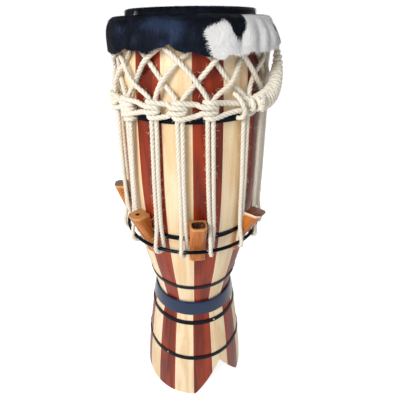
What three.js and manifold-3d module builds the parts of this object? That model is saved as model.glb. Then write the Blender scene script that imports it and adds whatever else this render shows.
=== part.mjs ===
// A tall ceremonial drum: a waisted shell of light and dark staves held by steel hoops, a hair-on cowhide
// head folded over a flesh hoop, a laced rope net with a twined belt and a wrapped handle, and wooden
// wedges driven between the shell and a steel tension ring. Millimetres, +Z up, floor at z = 0.
// Azimuth is measured about the drum's axis in degrees, 0 at the front (-Y), growing towards +X.
import * as THREE from 'three';
import { mergeVertices } from 'three/addons/utils/BufferGeometryUtils.js';
import Module from 'manifold-3d';

const wasm = await Module();
wasm.setup();

// Driving dimensions
const clearance = 0.3; // between pieces that touch
const staveCount = 16;
const wallThickness = 14;

const footHeight = 316; // floor to the joint inside the waist band
const baseRadius = 152;
const footTopRadius = 107.6;
const footTurn = -1; // azimuth of a seam between two foot staves

const bodyHeight = 685.5; // joint to the bearing edge
const bodyBottomInset = 8.1; // the body's end is this much narrower than the foot's top
const bellyRadius = 152.2;
const bearingEdgeRadius = 119;
const bodyTurn = 0.7; // azimuth of a seam between two body staves

const notchAzimuth = 31.5;
const notchWidth = 155;
const notchHeight = 116;
const notchOvercut = 5; // how far the saw starts below the floor

const hoopWidth = 12;
const hoopThickness = 1.6;
const hoopSlack = 0.6; // a hoop is a little larger than the bulge that it sits on
const upperHoopBelowBelt = 30; // its lower edge under the belt's middle height
const middleHoopRise = 19; // its lower edge over the middle of the ring
const lowerHoopRise = 73.5; // its lower edge over the joint
const upperFootHoopDrop = 51; // its lower edge under the joint
const lowerFootHoopHeight = 142;
const rivetRadius = 3;
const rivetTopShare = 0.6;
const rivetHeight = 1.4;
const upperRivetAzimuth = 27;
const lowerRivetAzimuth = -33.4;

const bandThickness = 3.2;
const bandBelowJoint = 19;
const bandAboveJoint = 20;
const bandSlack = 0.4; // between the band and the foot at its lower edge
const bandTopSlack = 0.9; // its rounded rim reaches this far past the foot's top
const bandRimFall = 2;

const ringStandoff = 18.4; // from the shell at the middle hoop to the middle of the rod
const ringRodRadius = 4;
const ringRodSides = 5;
const ringHeight = 545;

const fleshHoopStandoff = 26; // from the bearing edge out to the middle of the rod
const fleshRodRadius = 5;
const fleshRodSides = 4;
const fleshHoopDrop = 17; // from the bearing edge down to the middle of the rod

const hideThickness = 3.1;
const rimStandoff = 4; // the hide where it turns over the bearing edge
const rimRound = 1.4;
const rimSpread = 4; // how far the rim's foot runs out into the fold
const skirtLeftFlare = 12; // past the belly
const skirtRightFlare = 25.8;
const skirtFall = 51.5; // from the fold down to a typical lower edge

// Each wedge: its azimuth, how much higher its top stands than the usual, how much further it leans out
// above the ring and how fast its outer face leaves the ring, both per millimetre of height
const wedgePlaces = [
  [3.75, 0, 0, 0.47], [48, 0, 0.13, 0.47], [95, -10, 0, 0.25], [138.75, 0, 0.04, 0.42],
  [183.75, 0, 0, 0.47], [228.75, 0, 0.06, 0.42], [273.75, 20, 0, 0.33], [317.6, 0, 0, 0.47],
];
const wedgeWidth = 35;
const wedgeChamfer = 7;
const wedgeBelowRing = 38;
const wedgeAboveRing = 78;
const wedgeLean = 0.13; // how far the inner face leans out, per millimetre of height
const wedgeFootSpread = 0.3; // how fast the outer face comes out below the ring
const socketWidth = 27;
const socketReach = 24;
const socketDepth = 14;
const knotHoleWidth = 9;

const pairCount = 16;
const pairAzimuth = -7.5; // a pair of lacing strands left of the front
const ropeHalf = 4; // half the rope's thickness, measured to its flats
const ropeSides = 4;
const ropeStandoff = 1.5; // between the shell and the inner strands of the net
const strandInset = 1; // the strands stand this much inside the middle of the ring
const strandGive = 0.5; // and lean in by this much halfway down
const beltDrop = 132.5; // from the flesh hoop down to the belt's middle height
const beltSpread = 12.5; // how far each belt rope leaves the belt's middle height
const beltInset = 1.5; // a belt rope's place between two pairs, inside the strands
const netAboveBelt = 14;
const pairsBelowBelt = 16;
const netHoopGap = 3; // between the net's top and the flesh hoop

const handleHalf = 15;
const handleGap = 0.4; // to the lacing and the belts that it lies against
const handleSides = 7;

// Outlines of the shell: share of the height, then share of the way from the first radius to the last
const footOutline = [
  [0, 0], [0.19, 0.113], [0.468, 0.347], [0.858, 0.759], [1, 1],
];
const lowerBodyOutline = [[0, 0], [0.112, 0.287], [0.21, 0.57], [0.363, 0.873], [0.545, 1]];
const upperBodyOutline = [[0.738, 0.092], [0.93, 0.44], [0.984, 0.92], [1, 1]];

const radians = THREE.MathUtils.degToRad;
const mix = THREE.MathUtils.lerp;

// Named levels and radii that follow from the driving dimensions
const bodyTop = footHeight + bodyHeight;
const bodyBottomRadius = footTopRadius - bodyBottomInset;
const middleHoopHeight = ringHeight + middleHoopRise;
const upperFootHoopHeight = footHeight - upperFootHoopDrop;
const lowerHoopHeight = footHeight + lowerHoopRise;
const wedgeBottom = ringHeight - wedgeBelowRing;
const wedgeTop = ringHeight + wedgeAboveRing;
const fleshHoopRadius = bearingEdgeRadius + fleshHoopStandoff;
const fleshHoopHeight = bodyTop - fleshHoopDrop;
const rimRadius = bearingEdgeRadius + rimStandoff;
const beltHeight = fleshHoopHeight - beltDrop;
const upperHoopHeight = beltHeight - upperHoopBelowBelt;
const netBottom = beltHeight + netAboveBelt;
const beltFoot = beltHeight - pairsBelowBelt;
const netTop = fleshHoopHeight - fleshRodRadius - ropeHalf - netHoopGap;
const footLevels = footOutline.map(([rise, share]) => [
  rise * footHeight,
  mix(baseRadius, footTopRadius, share),
]);
const bodyLevels = [
  ...lowerBodyOutline.map(([rise, share]) => [
    footHeight + rise * bodyHeight,
    mix(bodyBottomRadius, bellyRadius, share),
  ]),
  ...upperBodyOutline.map(([rise, share]) => [
    footHeight + rise * bodyHeight,
    mix(bellyRadius, bearingEdgeRadius, share),
  ]),
];

// A value read off a list of [position, value] points by straight lines between them
function along(points, position) {
  const next = points.findIndex(([at]) => at >= position);
  if (next === 0) {
    return points[0][1];
  }
  if (next < 0) {
    return points[points.length - 1][1];
  }
  const [at0, value0] = points[next - 1];
  const [at1, value1] = points[next];
  return mix(value0, value1, (position - at0) / (at1 - at0));
}

// The ring and the strands that hang in it stand off the shell where the middle hoop holds it
const ringRadius = along(bodyLevels, middleHoopHeight + hoopWidth) + ringStandoff;
const strandRadius = ringRadius - strandInset;

function place(azimuth, radius, z) {
  const a = radians(azimuth);
  return new THREE.Vector3(radius * Math.sin(a), -radius * Math.cos(a), z);
}

// A closed geometry with its faces pointing out, from any closed soup of triangles
function solid(geometry) {
  const bare = new THREE.BufferGeometry();
  bare.setAttribute('position', geometry.getAttribute('position').clone());
  bare.setIndex(geometry.index);
  const merged = mergeVertices(bare, 1e-4);
  const position = merged.getAttribute('position');
  const corners = merged.index.array;
  const a = new THREE.Vector3();
  const b = new THREE.Vector3();
  const c = new THREE.Vector3();
  const kept = [];
  let volume = 0;
  for (let i = 0; i < corners.length; i += 3) {
    const [p, q, r] = corners.slice(i, i + 3);
    if (p === q || q === r || r === p) {
      continue;
    }
    kept.push(p, q, r);
    a.fromBufferAttribute(position, p);
    b.fromBufferAttribute(position, q);
    c.fromBufferAttribute(position, r);
    volume += a.dot(b.cross(c));
  }
  merged.setIndex(volume < 0 ? kept.reverse() : kept);
  merged.computeVertexNormals();
  return merged;
}

// A solid through a row of sections with the same number of corners, capped or joined end to start
function loft(sections, joined = false) {
  const positions = [];
  const face = (p, q, r) => positions.push(...p, ...q, ...r);
  const spans = joined ? sections.length : sections.length - 1;
  for (let i = 0; i < spans; i += 1) {
    const low = sections[i];
    const high = sections[(i + 1) % sections.length];
    low.forEach((corner, k) => {
      const next = (k + 1) % low.length;
      face(corner, low[next], high[next]);
      face(corner, high[next], high[k]);
    });
  }
  if (!joined) {
    const last = sections[sections.length - 1];
    for (let k = 1; k + 1 < last.length; k += 1) {
      face(sections[0][0], sections[0][k + 1], sections[0][k]);
      face(last[0], last[k], last[k + 1]);
    }
  }
  const geometry = new THREE.BufferGeometry();
  geometry.setAttribute('position', new THREE.Float32BufferAttribute(positions, 3));
  return solid(geometry);
}

// A ring turned about the drum's axis from a closed outline of [radius, z] points
function turned(outline, turn, segments = 2 * staveCount) {
  const points = [...outline, outline[0]].map(([radius, z]) => new THREE.Vector2(radius, z));
  const geometry = new THREE.LatheGeometry(points, segments, radians(turn));
  return solid(geometry.rotateX(Math.PI / 2));
}

const fromAxis = (point) => new THREE.Vector3(point.x, point.y, 0).normalize();

// A rope through a route of points, half as thick as given there, measured to its flats. One flat faces
// away from the drum's axis, or where the rope's outward directions say.
function rope(route, half, { sides = ropeSides, joined = false, outward = route.map(fromAxis) } = {}) {
  const last = route.length - 1;
  const sections = route.map((point, i) => {
    const before = route[joined && i === 0 ? last : Math.max(i - 1, 0)];
    const after = route[joined && i === last ? 0 : Math.min(i + 1, last)];
    const ahead = after.clone().sub(before).normalize();
    const out = outward[i].clone().addScaledVector(ahead, -outward[i].dot(ahead)).normalize();
    const side = ahead.clone().cross(out);
    const radius = (Array.isArray(half) ? half[i] : half) / Math.cos(Math.PI / sides);
    return Array.from({ length: sides }, (_, k) => {
      const a = ((k + 0.5) / sides) * 2 * Math.PI;
      return point.clone().addScaledVector(out, radius * Math.cos(a)).addScaledVector(side, radius * Math.sin(a));
    });
  });
  return loft(sections, joined);
}

function toManifold(geometry) {
  const clean = solid(geometry);
  return new wasm.Manifold(new wasm.Mesh({
    numProp: 3,
    vertProperties: clean.getAttribute('position').array,
    triVerts: new Uint32Array(clean.index.array),
  }));
}

function toGeometry(manifold) {
  const mesh = manifold.getMesh();
  const geometry = new THREE.BufferGeometry();
  geometry.setAttribute('position', new THREE.BufferAttribute(mesh.vertProperties, 3));
  geometry.setIndex(new THREE.BufferAttribute(mesh.triVerts, 1));
  return solid(geometry);
}

function joinedTogether(geometries) {
  return geometries.map(toManifold).reduce((whole, piece) => whole.add(piece));
}

function largestPiece(manifold) {
  return manifold.decompose().reduce((best, piece) => (piece.volume() > best.volume() ? piece : best));
}

// Materials
const finish = (color, roughness, metalness) => new THREE.MeshStandardMaterial({ color, roughness, metalness });
const paleWood = finish(0xe2c291, 0.45, 0);
const darkWood = finish(0x74301f, 0.4, 0);
const wedgeWood = finish(0xb5682c, 0.45, 0);
const blackSteel = finish(0x14171c, 0.35, 0.8);
const brightSteel = finish(0xc9ccd0, 0.3, 1);
const sisal = finish(0xd9cdb0, 0.9, 0);
const hair = finish(0x1a1c24, 0.6, 0);

const drum = new THREE.Group();

function add(name, geometry, material) {
  const mesh = new THREE.Mesh(geometry, material);
  mesh.name = name;
  drum.add(mesh);
  return mesh;
}

// One stave between two seams, with the narrow gap of the seam kept all the way up
function stave(levels, from, to) {
  const seam = (azimuth, radius, z, side) => {
    const a = radians(azimuth);
    const across = new THREE.Vector3(Math.cos(a), Math.sin(a), 0);
    return place(azimuth, radius, z).addScaledVector(across, (side * clearance) / 2);
  };
  return loft(levels.map(([z, radius]) => [
    seam(from, radius, z, 1),
    place((from + to) / 2, radius, z),
    seam(to, radius, z, -1),
    seam(to, radius - wallThickness, z, -1),
    seam(from, radius - wallThickness, z, 1),
  ]));
}

// The V-shaped opening that is cut through the foot from the floor up
function footNotch() {
  const reach = 3 * wallThickness;
  const spread = (notchWidth / 2) * ((notchHeight + notchOvercut) / notchHeight);
  const outline = new THREE.Shape([
    new THREE.Vector2(-spread, -notchOvercut),
    new THREE.Vector2(spread, -notchOvercut),
    new THREE.Vector2(0, notchHeight),
  ]);
  const cutter = new THREE.ExtrudeGeometry(outline, { depth: baseRadius, bevelEnabled: false });
  cutter.rotateX(Math.PI / 2).translate(0, -reach, 0).rotateZ(radians(notchAzimuth));
  return toManifold(cutter);
}

function addStaves() {
  const step = 360 / staveCount;
  const notch = footNotch();
  const footPieces = footLevels.map(([z, radius]) => [z === footHeight ? z - clearance / 2 : z, radius]);
  const bodyPieces = bodyLevels.map(([z, radius]) => [z === footHeight ? z + clearance / 2 : z, radius]);
  for (let i = 0; i < staveCount; i += 1) {
    const number = String(i + 1).padStart(2, '0');
    const wood = i % 2 === 0 ? darkWood : paleWood;
    add(`body_stave_${number}`, stave(bodyPieces, bodyTurn + i * step, bodyTurn + (i + 1) * step), wood);
    const whole = toManifold(stave(footPieces, footTurn + i * step, footTurn + (i + 1) * step));
    add(`foot_stave_${number}`, toGeometry(whole.subtract(notch)), wood);
  }
}

// A flat strap around the shell, level with the given height at its lower edge
function strap(levels, z, turn) {
  const low = along(levels, z) + hoopSlack;
  const high = along(levels, z + hoopWidth) + hoopSlack;
  return turned([
    [low, z],
    [low + hoopThickness, z],
    [high + hoopThickness, z + hoopWidth],
    [high, z + hoopWidth],
  ], turn);
}

function rivet(levels, z, azimuth) {
  const middle = z + hoopWidth / 2;
  const geometry = new THREE.CylinderGeometry(rivetRadius * rivetTopShare, rivetRadius, rivetHeight, 8);
  const seat = along(levels, middle) + hoopSlack + hoopThickness + clearance;
  geometry.translate(0, seat + rivetHeight / 2, 0).rotateZ(Math.PI + radians(azimuth)).translate(0, 0, middle);
  return solid(geometry);
}

function addHoops() {
  add('upper_hoop', strap(bodyLevels, upperHoopHeight, bodyTurn), blackSteel);
  add('middle_hoop', strap(bodyLevels, middleHoopHeight, bodyTurn), blackSteel);
  add('lower_hoop', strap(bodyLevels, lowerHoopHeight, bodyTurn), blackSteel);
  add('upper_foot_hoop', strap(footLevels, upperFootHoopHeight, footTurn), blackSteel);
  add('lower_foot_hoop', strap(footLevels, lowerFootHoopHeight, footTurn), blackSteel);
  add('upper_foot_rivet', rivet(footLevels, upperFootHoopHeight, upperRivetAzimuth), brightSteel);
  add('lower_foot_rivet', rivet(footLevels, lowerFootHoopHeight, lowerRivetAzimuth), brightSteel);
}

// The wide band over the joint of foot and body, with a rounded upper rim that stands off the shell
function waistBand() {
  const bottom = footHeight - bandBelowJoint;
  const top = footHeight + bandAboveJoint;
  const inner = along(footLevels, bottom) + bandSlack;
  const rim = footTopRadius + bandTopSlack;
  return turned([
    [inner, bottom],
    [inner + bandThickness, bottom],
    [rim, top - bandRimFall],
    [rim - bandThickness / 2, top],
    [rim - bandThickness, top - bandRimFall / 2],
  ], footTurn);
}

function rod(radius, z, rodRadius, turn, corners) {
  return turned(Array.from({ length: corners }, (_, k) => {
    const a = (k / corners) * 2 * Math.PI;
    return [radius + rodRadius * Math.cos(a), z + rodRadius * Math.sin(a)];
  }), turn);
}

// The hide: a flat skin over the bearing edge, a raised rim, a fold over the flesh hoop and a hanging skirt

// Lower edge of the skirt: azimuth, then height above the typical fall
const skirtEdge = [
  [-100, -1], [-78, -3], [-55, -7.5], [-43.5, 2.4], [-26, -1.4], [-11, 11.4], [-8, 1], [1, -1.2],
  [18.5, -13.2], [21.5, -4.5], [28.5, -8.2], [37, -2.7], [51.5, -4], [63, 0], [78, 8],
  [110, -4], [145, 1], [180, -9], [215, 0], [260, -1],
];
const flareAzimuth = 80; // the skirt stands out furthest at the handle's side
const flareWidth = 42;
const sweepLeft = 4; // how quickly the skirt leaves the fold, by side
const sweepRight = 1.5;
const foldReach = 0.85; // of the skirt's fall, as far as the folds go

// Pillowy folds: azimuth, width in degrees, and how far each stands out
const skirtFolds = [[-20, 9, -4], [-9, 5, 3], [-38, 8, 2.5], [-55, 7, -2], [35, 5, 2], [45, 5, -2],
  [53, 4, 2], [62, 5, -1.5], [120, 12, 3], [150, 10, -2], [185, 14, 3], [222, 12, -2]];

const foldHeight = fleshHoopHeight + fleshRodRadius + clearance + hideThickness;

const turnBetween = (a, b) => ((((a - b) % 360) + 540) % 360) - 180;

function skirtRadius(azimuth, z) {
  const toRight = Math.exp(-((turnBetween(azimuth, flareAzimuth) / flareWidth) ** 2));
  const flare = bellyRadius + mix(skirtLeftFlare, skirtRightFlare, toRight);
  const fall = Math.min(Math.max((foldHeight - z) / skirtFall, 0), 1);
  const sweep = 1 - (1 - fall) ** mix(sweepLeft, sweepRight, toRight);
  const folds = skirtFolds.reduce(
    (sum, [at, width, out]) => sum + out * Math.exp(-((turnBetween(azimuth, at) / width) ** 2)),
    0,
  );
  const foldEdge = fleshHoopRadius + fleshRodRadius;
  return mix(foldEdge, flare, sweep) + folds * Math.sin(foldReach * Math.PI * fall);
}

function skirtOutline(azimuth) {
  const wrapped = azimuth > 260 ? azimuth - 360 : azimuth;
  const edge = foldHeight - skirtFall + along(skirtEdge, wrapped);
  const headTop = bodyTop + clearance + hideThickness;
  const levels = [foldHeight - 5, foldHeight - 19, edge];
  const outside = levels.map((z) => [skirtRadius(azimuth, z), z]);
  const inside = levels.slice(1).reverse().map((z) => [skirtRadius(azimuth, z) - hideThickness, z]);
  const under = foldHeight - hideThickness;
  return [
    [0, headTop],
    [bearingEdgeRadius, headTop],
    [rimRadius - clearance, headTop - rimRound],
    [rimRadius + rimRound, foldHeight + rimRound],
    [rimRadius + rimSpread + clearance, foldHeight],
    [fleshHoopRadius + fleshRodRadius - hideThickness, foldHeight],
    ...outside,
    ...inside,
    [fleshHoopRadius + fleshRodRadius, under],
    [rimRadius + rimSpread, under],
    [rimRadius - clearance, foldHeight],
    [bearingEdgeRadius + rimRound, headTop - hideThickness],
    [0, headTop - hideThickness],
  ];
}

function cowhide() {
  const widestStep = 16;
  const spaced = skirtEdge.slice(0, -1).flatMap(([azimuth], i) => {
    const gap = skirtEdge[i + 1][0] - azimuth;
    const parts = Math.ceil(gap / widestStep);
    return Array.from({ length: parts }, (_, k) => azimuth + (k * gap) / parts);
  });
  const positions = [];
  spaced.forEach((azimuth, i) => {
    const next = i + 1 < spaced.length ? spaced[i + 1] : spaced[0] + 360;
    const here = skirtOutline(azimuth).map(([radius, z]) => place(azimuth, radius, z));
    const there = skirtOutline(next).map(([radius, z]) => place(next, radius, z));
    for (let k = 0; k + 1 < here.length; k += 1) {
      positions.push(...here[k], ...there[k + 1], ...there[k]);
      positions.push(...here[k], ...here[k + 1], ...there[k + 1]);
    }
  });
  const geometry = new THREE.BufferGeometry();
  geometry.setAttribute('position', new THREE.Float32BufferAttribute(positions, 3));
  return solid(geometry);
}

// Wedges, driven down between the middle hoop and the ring so that they push the ring and the rope down
function wedgeSection(z, leanAboveRing, spread) {
  const seat = along(bodyLevels, middleHoopHeight + hoopWidth) + hoopSlack + hoopThickness + clearance;
  const leanedOut = leanAboveRing * Math.max(z - ringHeight, 0);
  const inner = seat + wedgeLean * (z - middleHoopHeight) + leanedOut;
  const half = wedgeWidth / 2;
  const ringInside = (ringRadius - ringRodRadius) * Math.cos(Math.PI / (2 * staveCount));
  const contact = Math.sqrt(ringInside ** 2 - (half - wedgeChamfer) ** 2) - clearance;
  const overRing = z - ringHeight - ringRodRadius;
  const outer = contact + (overRing > 0 ? spread : wedgeFootSpread) * overRing + leanedOut;
  const chamfer = Math.min(wedgeChamfer, (outer - inner) / 2);
  return [
    [-half, -inner],
    [-half, -outer + chamfer],
    [-half + wedgeChamfer, -outer],
    [half - wedgeChamfer, -outer],
    [half, -outer + chamfer],
    [half, -inner],
  ].map(([x, y]) => new THREE.Vector3(x, y, z));
}

function wedgeSocket(number, width, reach, depth) {
  const [, , lean, spread] = wedgePlaces[number - 1];
  const hole = new THREE.CylinderGeometry(0.5, 0.4, 2 * depth, 14);
  const top = wedgeSection(wedgeTop, lean, spread);
  const middle = (top[0].y + top[2].y) / 2;
  hole.rotateX(Math.PI / 2).scale(width, reach, 1);
  hole.translate(0, middle, wedgeTop);
  return toManifold(hole);
}

function addWedges() {
  const hollows = {
    1: wedgeSocket(1, socketWidth, socketReach, socketDepth),
    8: wedgeSocket(8, knotHoleWidth, knotHoleWidth, socketDepth),
  };
  wedgePlaces.forEach(([azimuth, rise, lean, spread], i) => {
    const heights = [wedgeBottom, ringHeight, wedgeTop + rise];
    const body = loft(heights.map((z) => wedgeSection(z, lean, spread)));
    const hollow = hollows[i + 1];
    const shape = hollow ? toGeometry(toManifold(body).subtract(hollow)) : body;
    add(`wedge_${i + 1}`, shape.rotateZ(radians(azimuth)), wedgeWood);
  });
}

// Lacing rope: it drops from the flesh hoop through the net, runs down under the belt, hooks round the ring
// and climbs back beside itself. Strands of odd pairs that lean left pass over the ones they cross.

const pairStep = 360 / pairCount;

// One half of the net, from its top: how far round from its pair, in pair steps, the share of the net's
// height, and how far an upper strand stands off a lower one there. It is pressed into it at the lowest
// crossing, and strands that meet at the top share one point.
const netPoints = [[2, 1, 0], [1.5, 0.79, 5], [1, 0.56, 5], [0.5, 0.245, -2]];

function netStrand(azimuth, side, isOver) {
  return netPoints.map(([steps, share, apart]) => {
    const z = mix(netBottom, netTop, share);
    const inner = along(bodyLevels, z) + ropeStandoff + ropeHalf;
    const outer = inner + 2 * ropeHalf + apart * clearance;
    return place(azimuth + side * steps * pairStep, apart === 0 || isOver(2 * steps) ? outer : inner, z);
  });
}

function lacingStrands(pair, half) {
  const azimuth = pairAzimuth + pair * pairStep;
  const apart = THREE.MathUtils.radToDeg((ropeHalf + clearance) / strandRadius);
  const turns = 3;
  const turnRadius = (ringRodRadius + 2 * clearance + ropeHalf) / Math.cos(Math.PI / (2 * turns)) + clearance;
  const middle = (beltFoot + ringHeight) / 2;
  const standing = [
    [netBottom, strandRadius],
    [beltFoot, strandRadius],
    [middle, strandRadius - strandGive],
  ];
  const hook = Array.from({ length: turns + 1 }, (_, k) => {
    const a = (k * Math.PI) / turns;
    const side = mix(-apart, apart, k / turns);
    return place(azimuth + side, ringRadius + turnRadius * Math.cos(a), ringHeight - turnRadius * Math.sin(a));
  });
  const down = [
    ...netStrand(azimuth, -1, () => pair % 2 === 1),
    ...standing.map(([z, radius]) => place(azimuth - apart, radius, z)),
  ];
  const up = [
    ...standing.map(([z, radius]) => place(azimuth + apart, radius, z)).reverse(),
    ...netStrand(azimuth, 1, (crossing) => (pair + crossing) % 2 === 0).reverse(),
  ];
  const fromRing = hook.map((point) => point.clone().sub(place(azimuth, ringRadius, ringHeight)).normalize());
  const outward = [...down.map(fromAxis), ...fromRing, ...up.map((point) => fromAxis(point).negate())];
  return rope([...down, ...hook, ...up], half, { outward });
}

// Two belt ropes twine round the pairs: one in front and one behind, changing places at each pair
function beltRoute(first) {
  const front = strandRadius + 2 * ropeHalf + 2 * clearance;
  const behind = strandRadius - 2 * ropeHalf - 2 * clearance;
  return Array.from({ length: pairCount }, (_, pair) => {
    const inFront = pair % 2 === first;
    const rise = inFront ? 1 : -1;
    const radius = inFront ? front : behind;
    const azimuth = pairAzimuth + pair * pairStep;
    const between = strandRadius - beltInset;
    return [
      place(azimuth - 0.2 * pairStep, radius, beltHeight - rise * 0.45 * beltSpread),
      place(azimuth + 0.2 * pairStep, radius, beltHeight + rise * 0.45 * beltSpread),
      place(azimuth + 0.48 * pairStep, between, beltHeight + rise * beltSpread),
    ];
  }).flat();
}

// The rope's long end, wound back on itself into a carrying handle: azimuth, then out from the strands,
// height over the belt and half thickness as shares of the handle's own half thickness
const handlePoints = [
  [78, 0.43, 5.87, 0.35], [76, 0.73, 4.4, 0.62], [75, 0.77, 3.53, 0.75], [69.5, 0.8, 2.73, 0.87],
  [65, 0.85, 1.9, 0.98], [59, 0.93, 1.07, 1.06], [51, 1, 0.47, 1.14], [43.5, 1.05, 0.3, 1.2],
  [38, 0.97, 0.2, 1.08], [35, 0.75, 0.17, 0.75],
];

function handle(around) {
  const route = handlePoints.map(([azimuth, out, rise]) => (
    place(azimuth, strandRadius + out * handleHalf, beltHeight + rise * handleHalf)
  ));
  const halves = handlePoints.map(([, , , share]) => share * handleHalf);
  const body = toManifold(rope(route, halves, { sides: handleSides }));
  return toGeometry(largestPiece(body.subtract(around)));
}

function addRopes() {
  const pairs = Array.from({ length: pairCount }, (_, pair) => pair);
  const belts = [beltRoute(0), beltRoute(1)];
  add('lacing_rope', toGeometry(joinedTogether(pairs.map((pair) => lacingStrands(pair, ropeHalf)))), sisal);
  add('belt_rope_front', rope(belts[0], ropeHalf, { joined: true }), sisal);
  add('belt_rope_back', rope(belts[1], ropeHalf, { joined: true }), sisal);
  const room = ropeHalf + handleGap;
  const around = joinedTogether([
    ...pairs.map((pair) => lacingStrands(pair, room)),
    ...belts.map((route) => rope(route, room, { joined: true })),
  ]);
  add('rope_handle', handle(around), sisal);
}

addStaves();
addHoops();
add('waist_band', waistBand(), blackSteel);
add('tension_ring', rod(ringRadius, ringHeight, ringRodRadius, pairAzimuth, ringRodSides), blackSteel);
add('flesh_hoop', rod(fleshHoopRadius, fleshHoopHeight, fleshRodRadius, pairAzimuth, fleshRodSides), blackSteel);
add('cowhide_head', cowhide(), hair);
addWedges();
addRopes();

// The origin is at floor level under the middle of the whole object
const bounds = new THREE.Box3().setFromObject(drum, true);
const middle = bounds.getCenter(new THREE.Vector3());
drum.position.set(-middle.x, -middle.y, 0);

export default drum;
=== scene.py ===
# %% [markdown]
# # A tall ceremonial drum
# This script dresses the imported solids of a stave-built drum: wood with grain and varnish, black
# steel, a hair-on cowhide head and twisted sisal rope. Each step says what the piece is on the real
# drum and why it is made here in the way that it is. Everything is in metres, +Z is up, and the
# front of the drum faces -Y.

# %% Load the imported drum
import math

import bmesh
import bpy
import numpy as np
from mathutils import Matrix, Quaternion, Vector


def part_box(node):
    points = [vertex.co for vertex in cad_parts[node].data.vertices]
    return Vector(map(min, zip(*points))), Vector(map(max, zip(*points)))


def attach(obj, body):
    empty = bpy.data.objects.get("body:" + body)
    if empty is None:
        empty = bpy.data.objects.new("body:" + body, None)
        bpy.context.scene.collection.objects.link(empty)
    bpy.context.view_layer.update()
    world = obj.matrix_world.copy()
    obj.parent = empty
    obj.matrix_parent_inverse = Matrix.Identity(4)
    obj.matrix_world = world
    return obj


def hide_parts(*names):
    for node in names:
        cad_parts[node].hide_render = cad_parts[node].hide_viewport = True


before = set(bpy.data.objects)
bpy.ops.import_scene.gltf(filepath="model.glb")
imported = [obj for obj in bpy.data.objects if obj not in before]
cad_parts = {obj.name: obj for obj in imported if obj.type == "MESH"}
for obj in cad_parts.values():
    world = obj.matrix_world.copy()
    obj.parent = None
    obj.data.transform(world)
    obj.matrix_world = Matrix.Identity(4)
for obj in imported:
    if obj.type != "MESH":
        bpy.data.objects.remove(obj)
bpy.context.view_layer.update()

# %% [markdown]
# ## The camera
# The photograph looks down at the drum from about the height of its head, through a wide lens that
# stands close, so the foot looks smaller than the head. Lens, place and tilt were worked out from
# the hoops: each is a level circle of known height, and only one camera sees them all as the
# picture does. The slight shift puts the drum left of the middle, as it stands there.

# %% Camera
mm = 0.001
ring_low, ring_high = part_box("tension_ring")
axis_x = (ring_low.x + ring_high.x) / 2


def put(name, data):
    """A new object in the scene."""
    thing = bpy.data.objects.new(name, data)
    bpy.context.scene.collection.objects.link(thing)
    return thing


camera = put("camera", bpy.data.cameras.new("camera"))
camera.data.sensor_width = 36
camera.data.lens = 28.43
camera.data.shift_x = 0.0188
camera.location = (axis_x, -0.7134, 0.974)
camera.rotation_mode = "QUATERNION"
tilt_down, roll = math.radians(28.54), math.radians(-0.697)
camera.rotation_quaternion = (
    Quaternion((1, 0, 0), math.pi / 2 - tilt_down) @ Quaternion((0, 0, 1), roll)
)
bpy.context.scene.camera = camera
print("drum axis at x =", round(axis_x, 6), "camera at", [round(v, 3) for v in camera.location])

# %% [markdown]
# ## Floor and light
# A studio shot of varnished wood wants large soft lights: a small one leaves hard white spots. The
# key light stands high at the front left, a weak one fills the right, one at the back draws the
# outline, and the sky is a plain white. The floor is a sheet of paper that isn't part of the drum.

# %% Floor and light
def tint(red, green, blue):
    """A colour as a screen shows it, 0 to 255, turned into the linear values that shaders use."""
    shares = [v / 255 for v in (red, green, blue)]
    return (*[v / 12.92 if v <= 0.04045 else ((v + 0.055) / 1.055) ** 2.4 for v in shares], 1.0)


drum_middle = Vector((0, 0, 0.6))


def soft_light(name, place, size, power, warmth):
    lamp = bpy.data.lights.new(name, "AREA")
    lamp.shape = "RECTANGLE"
    lamp.size, lamp.size_y = size
    lamp.energy, lamp.color = power, warmth
    light = put(name, lamp)
    light.location = place
    light.rotation_euler = (drum_middle - Vector(place)).to_track_quat("-Z", "Y").to_euler()


soft_light("key", (-1.3, -1.9, 1.9), (1.0, 1.2), 52, (1.0, 0.98, 0.95))
soft_light("fill", (2.3, -1.2, 1.2), (1.2, 1.8), 3, (0.95, 0.97, 1.0))
soft_light("back", (0.8, 2.2, 1.9), (1.6, 1.2), 9, (1.0, 1.0, 1.0))

# %% [markdown]
# A studio gets a white backdrop by lighting it more than the subject. Here one test of the ray does
# that: sky and paper are brighter for the camera than for the drum that they light.

# %% Sky and paper
def brighter_for_camera(tree, socket, elsewhere, seen):
    """Gives the socket one strength for the camera's own rays and another for all other light."""
    light_path = tree.nodes.new("ShaderNodeLightPath")
    strength = tree.nodes.new("ShaderNodeMapRange")
    strength.inputs["To Min"].default_value = elsewhere
    strength.inputs["To Max"].default_value = seen
    tree.links.new(light_path.outputs["Is Camera Ray"], strength.inputs["Value"])
    tree.links.new(strength.outputs[0], socket)


white_light = (1, 1, 1, 1)
world = bpy.data.worlds.new("studio")
world.use_nodes = True
sky = world.node_tree.nodes["Background"]
sky.inputs["Color"].default_value = white_light
brighter_for_camera(world.node_tree, sky.inputs["Strength"], 0.36, 1.05)
bpy.context.scene.world = world
bpy.context.scene.view_settings.view_transform = "Standard"

paper = bpy.data.materials.new("paper")
paper.use_nodes = True
paper_shader = paper.node_tree.nodes["Principled BSDF"]
paper_shader.inputs["Base Color"].default_value = (0.6, 0.6, 0.6, 1)
paper_shader.inputs["Roughness"].default_value = 0.9
paper_shader.inputs["Emission Color"].default_value = white_light
brighter_for_camera(paper.node_tree, paper_shader.inputs["Emission Strength"], 0.32, 0.85)

reach = 6
corners = [(-reach, -reach, 0), (reach, -reach, 0), (reach, reach, 0), (-reach, reach, 0)]
floor_mesh = bpy.data.meshes.new("floor")
floor_mesh.from_pydata(corners, [], [(0, 1, 2, 3)])
floor_mesh.materials.append(paper)
floor = put("floor", floor_mesh)
print("backdrop:", world.name, "and", floor.name)

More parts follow.
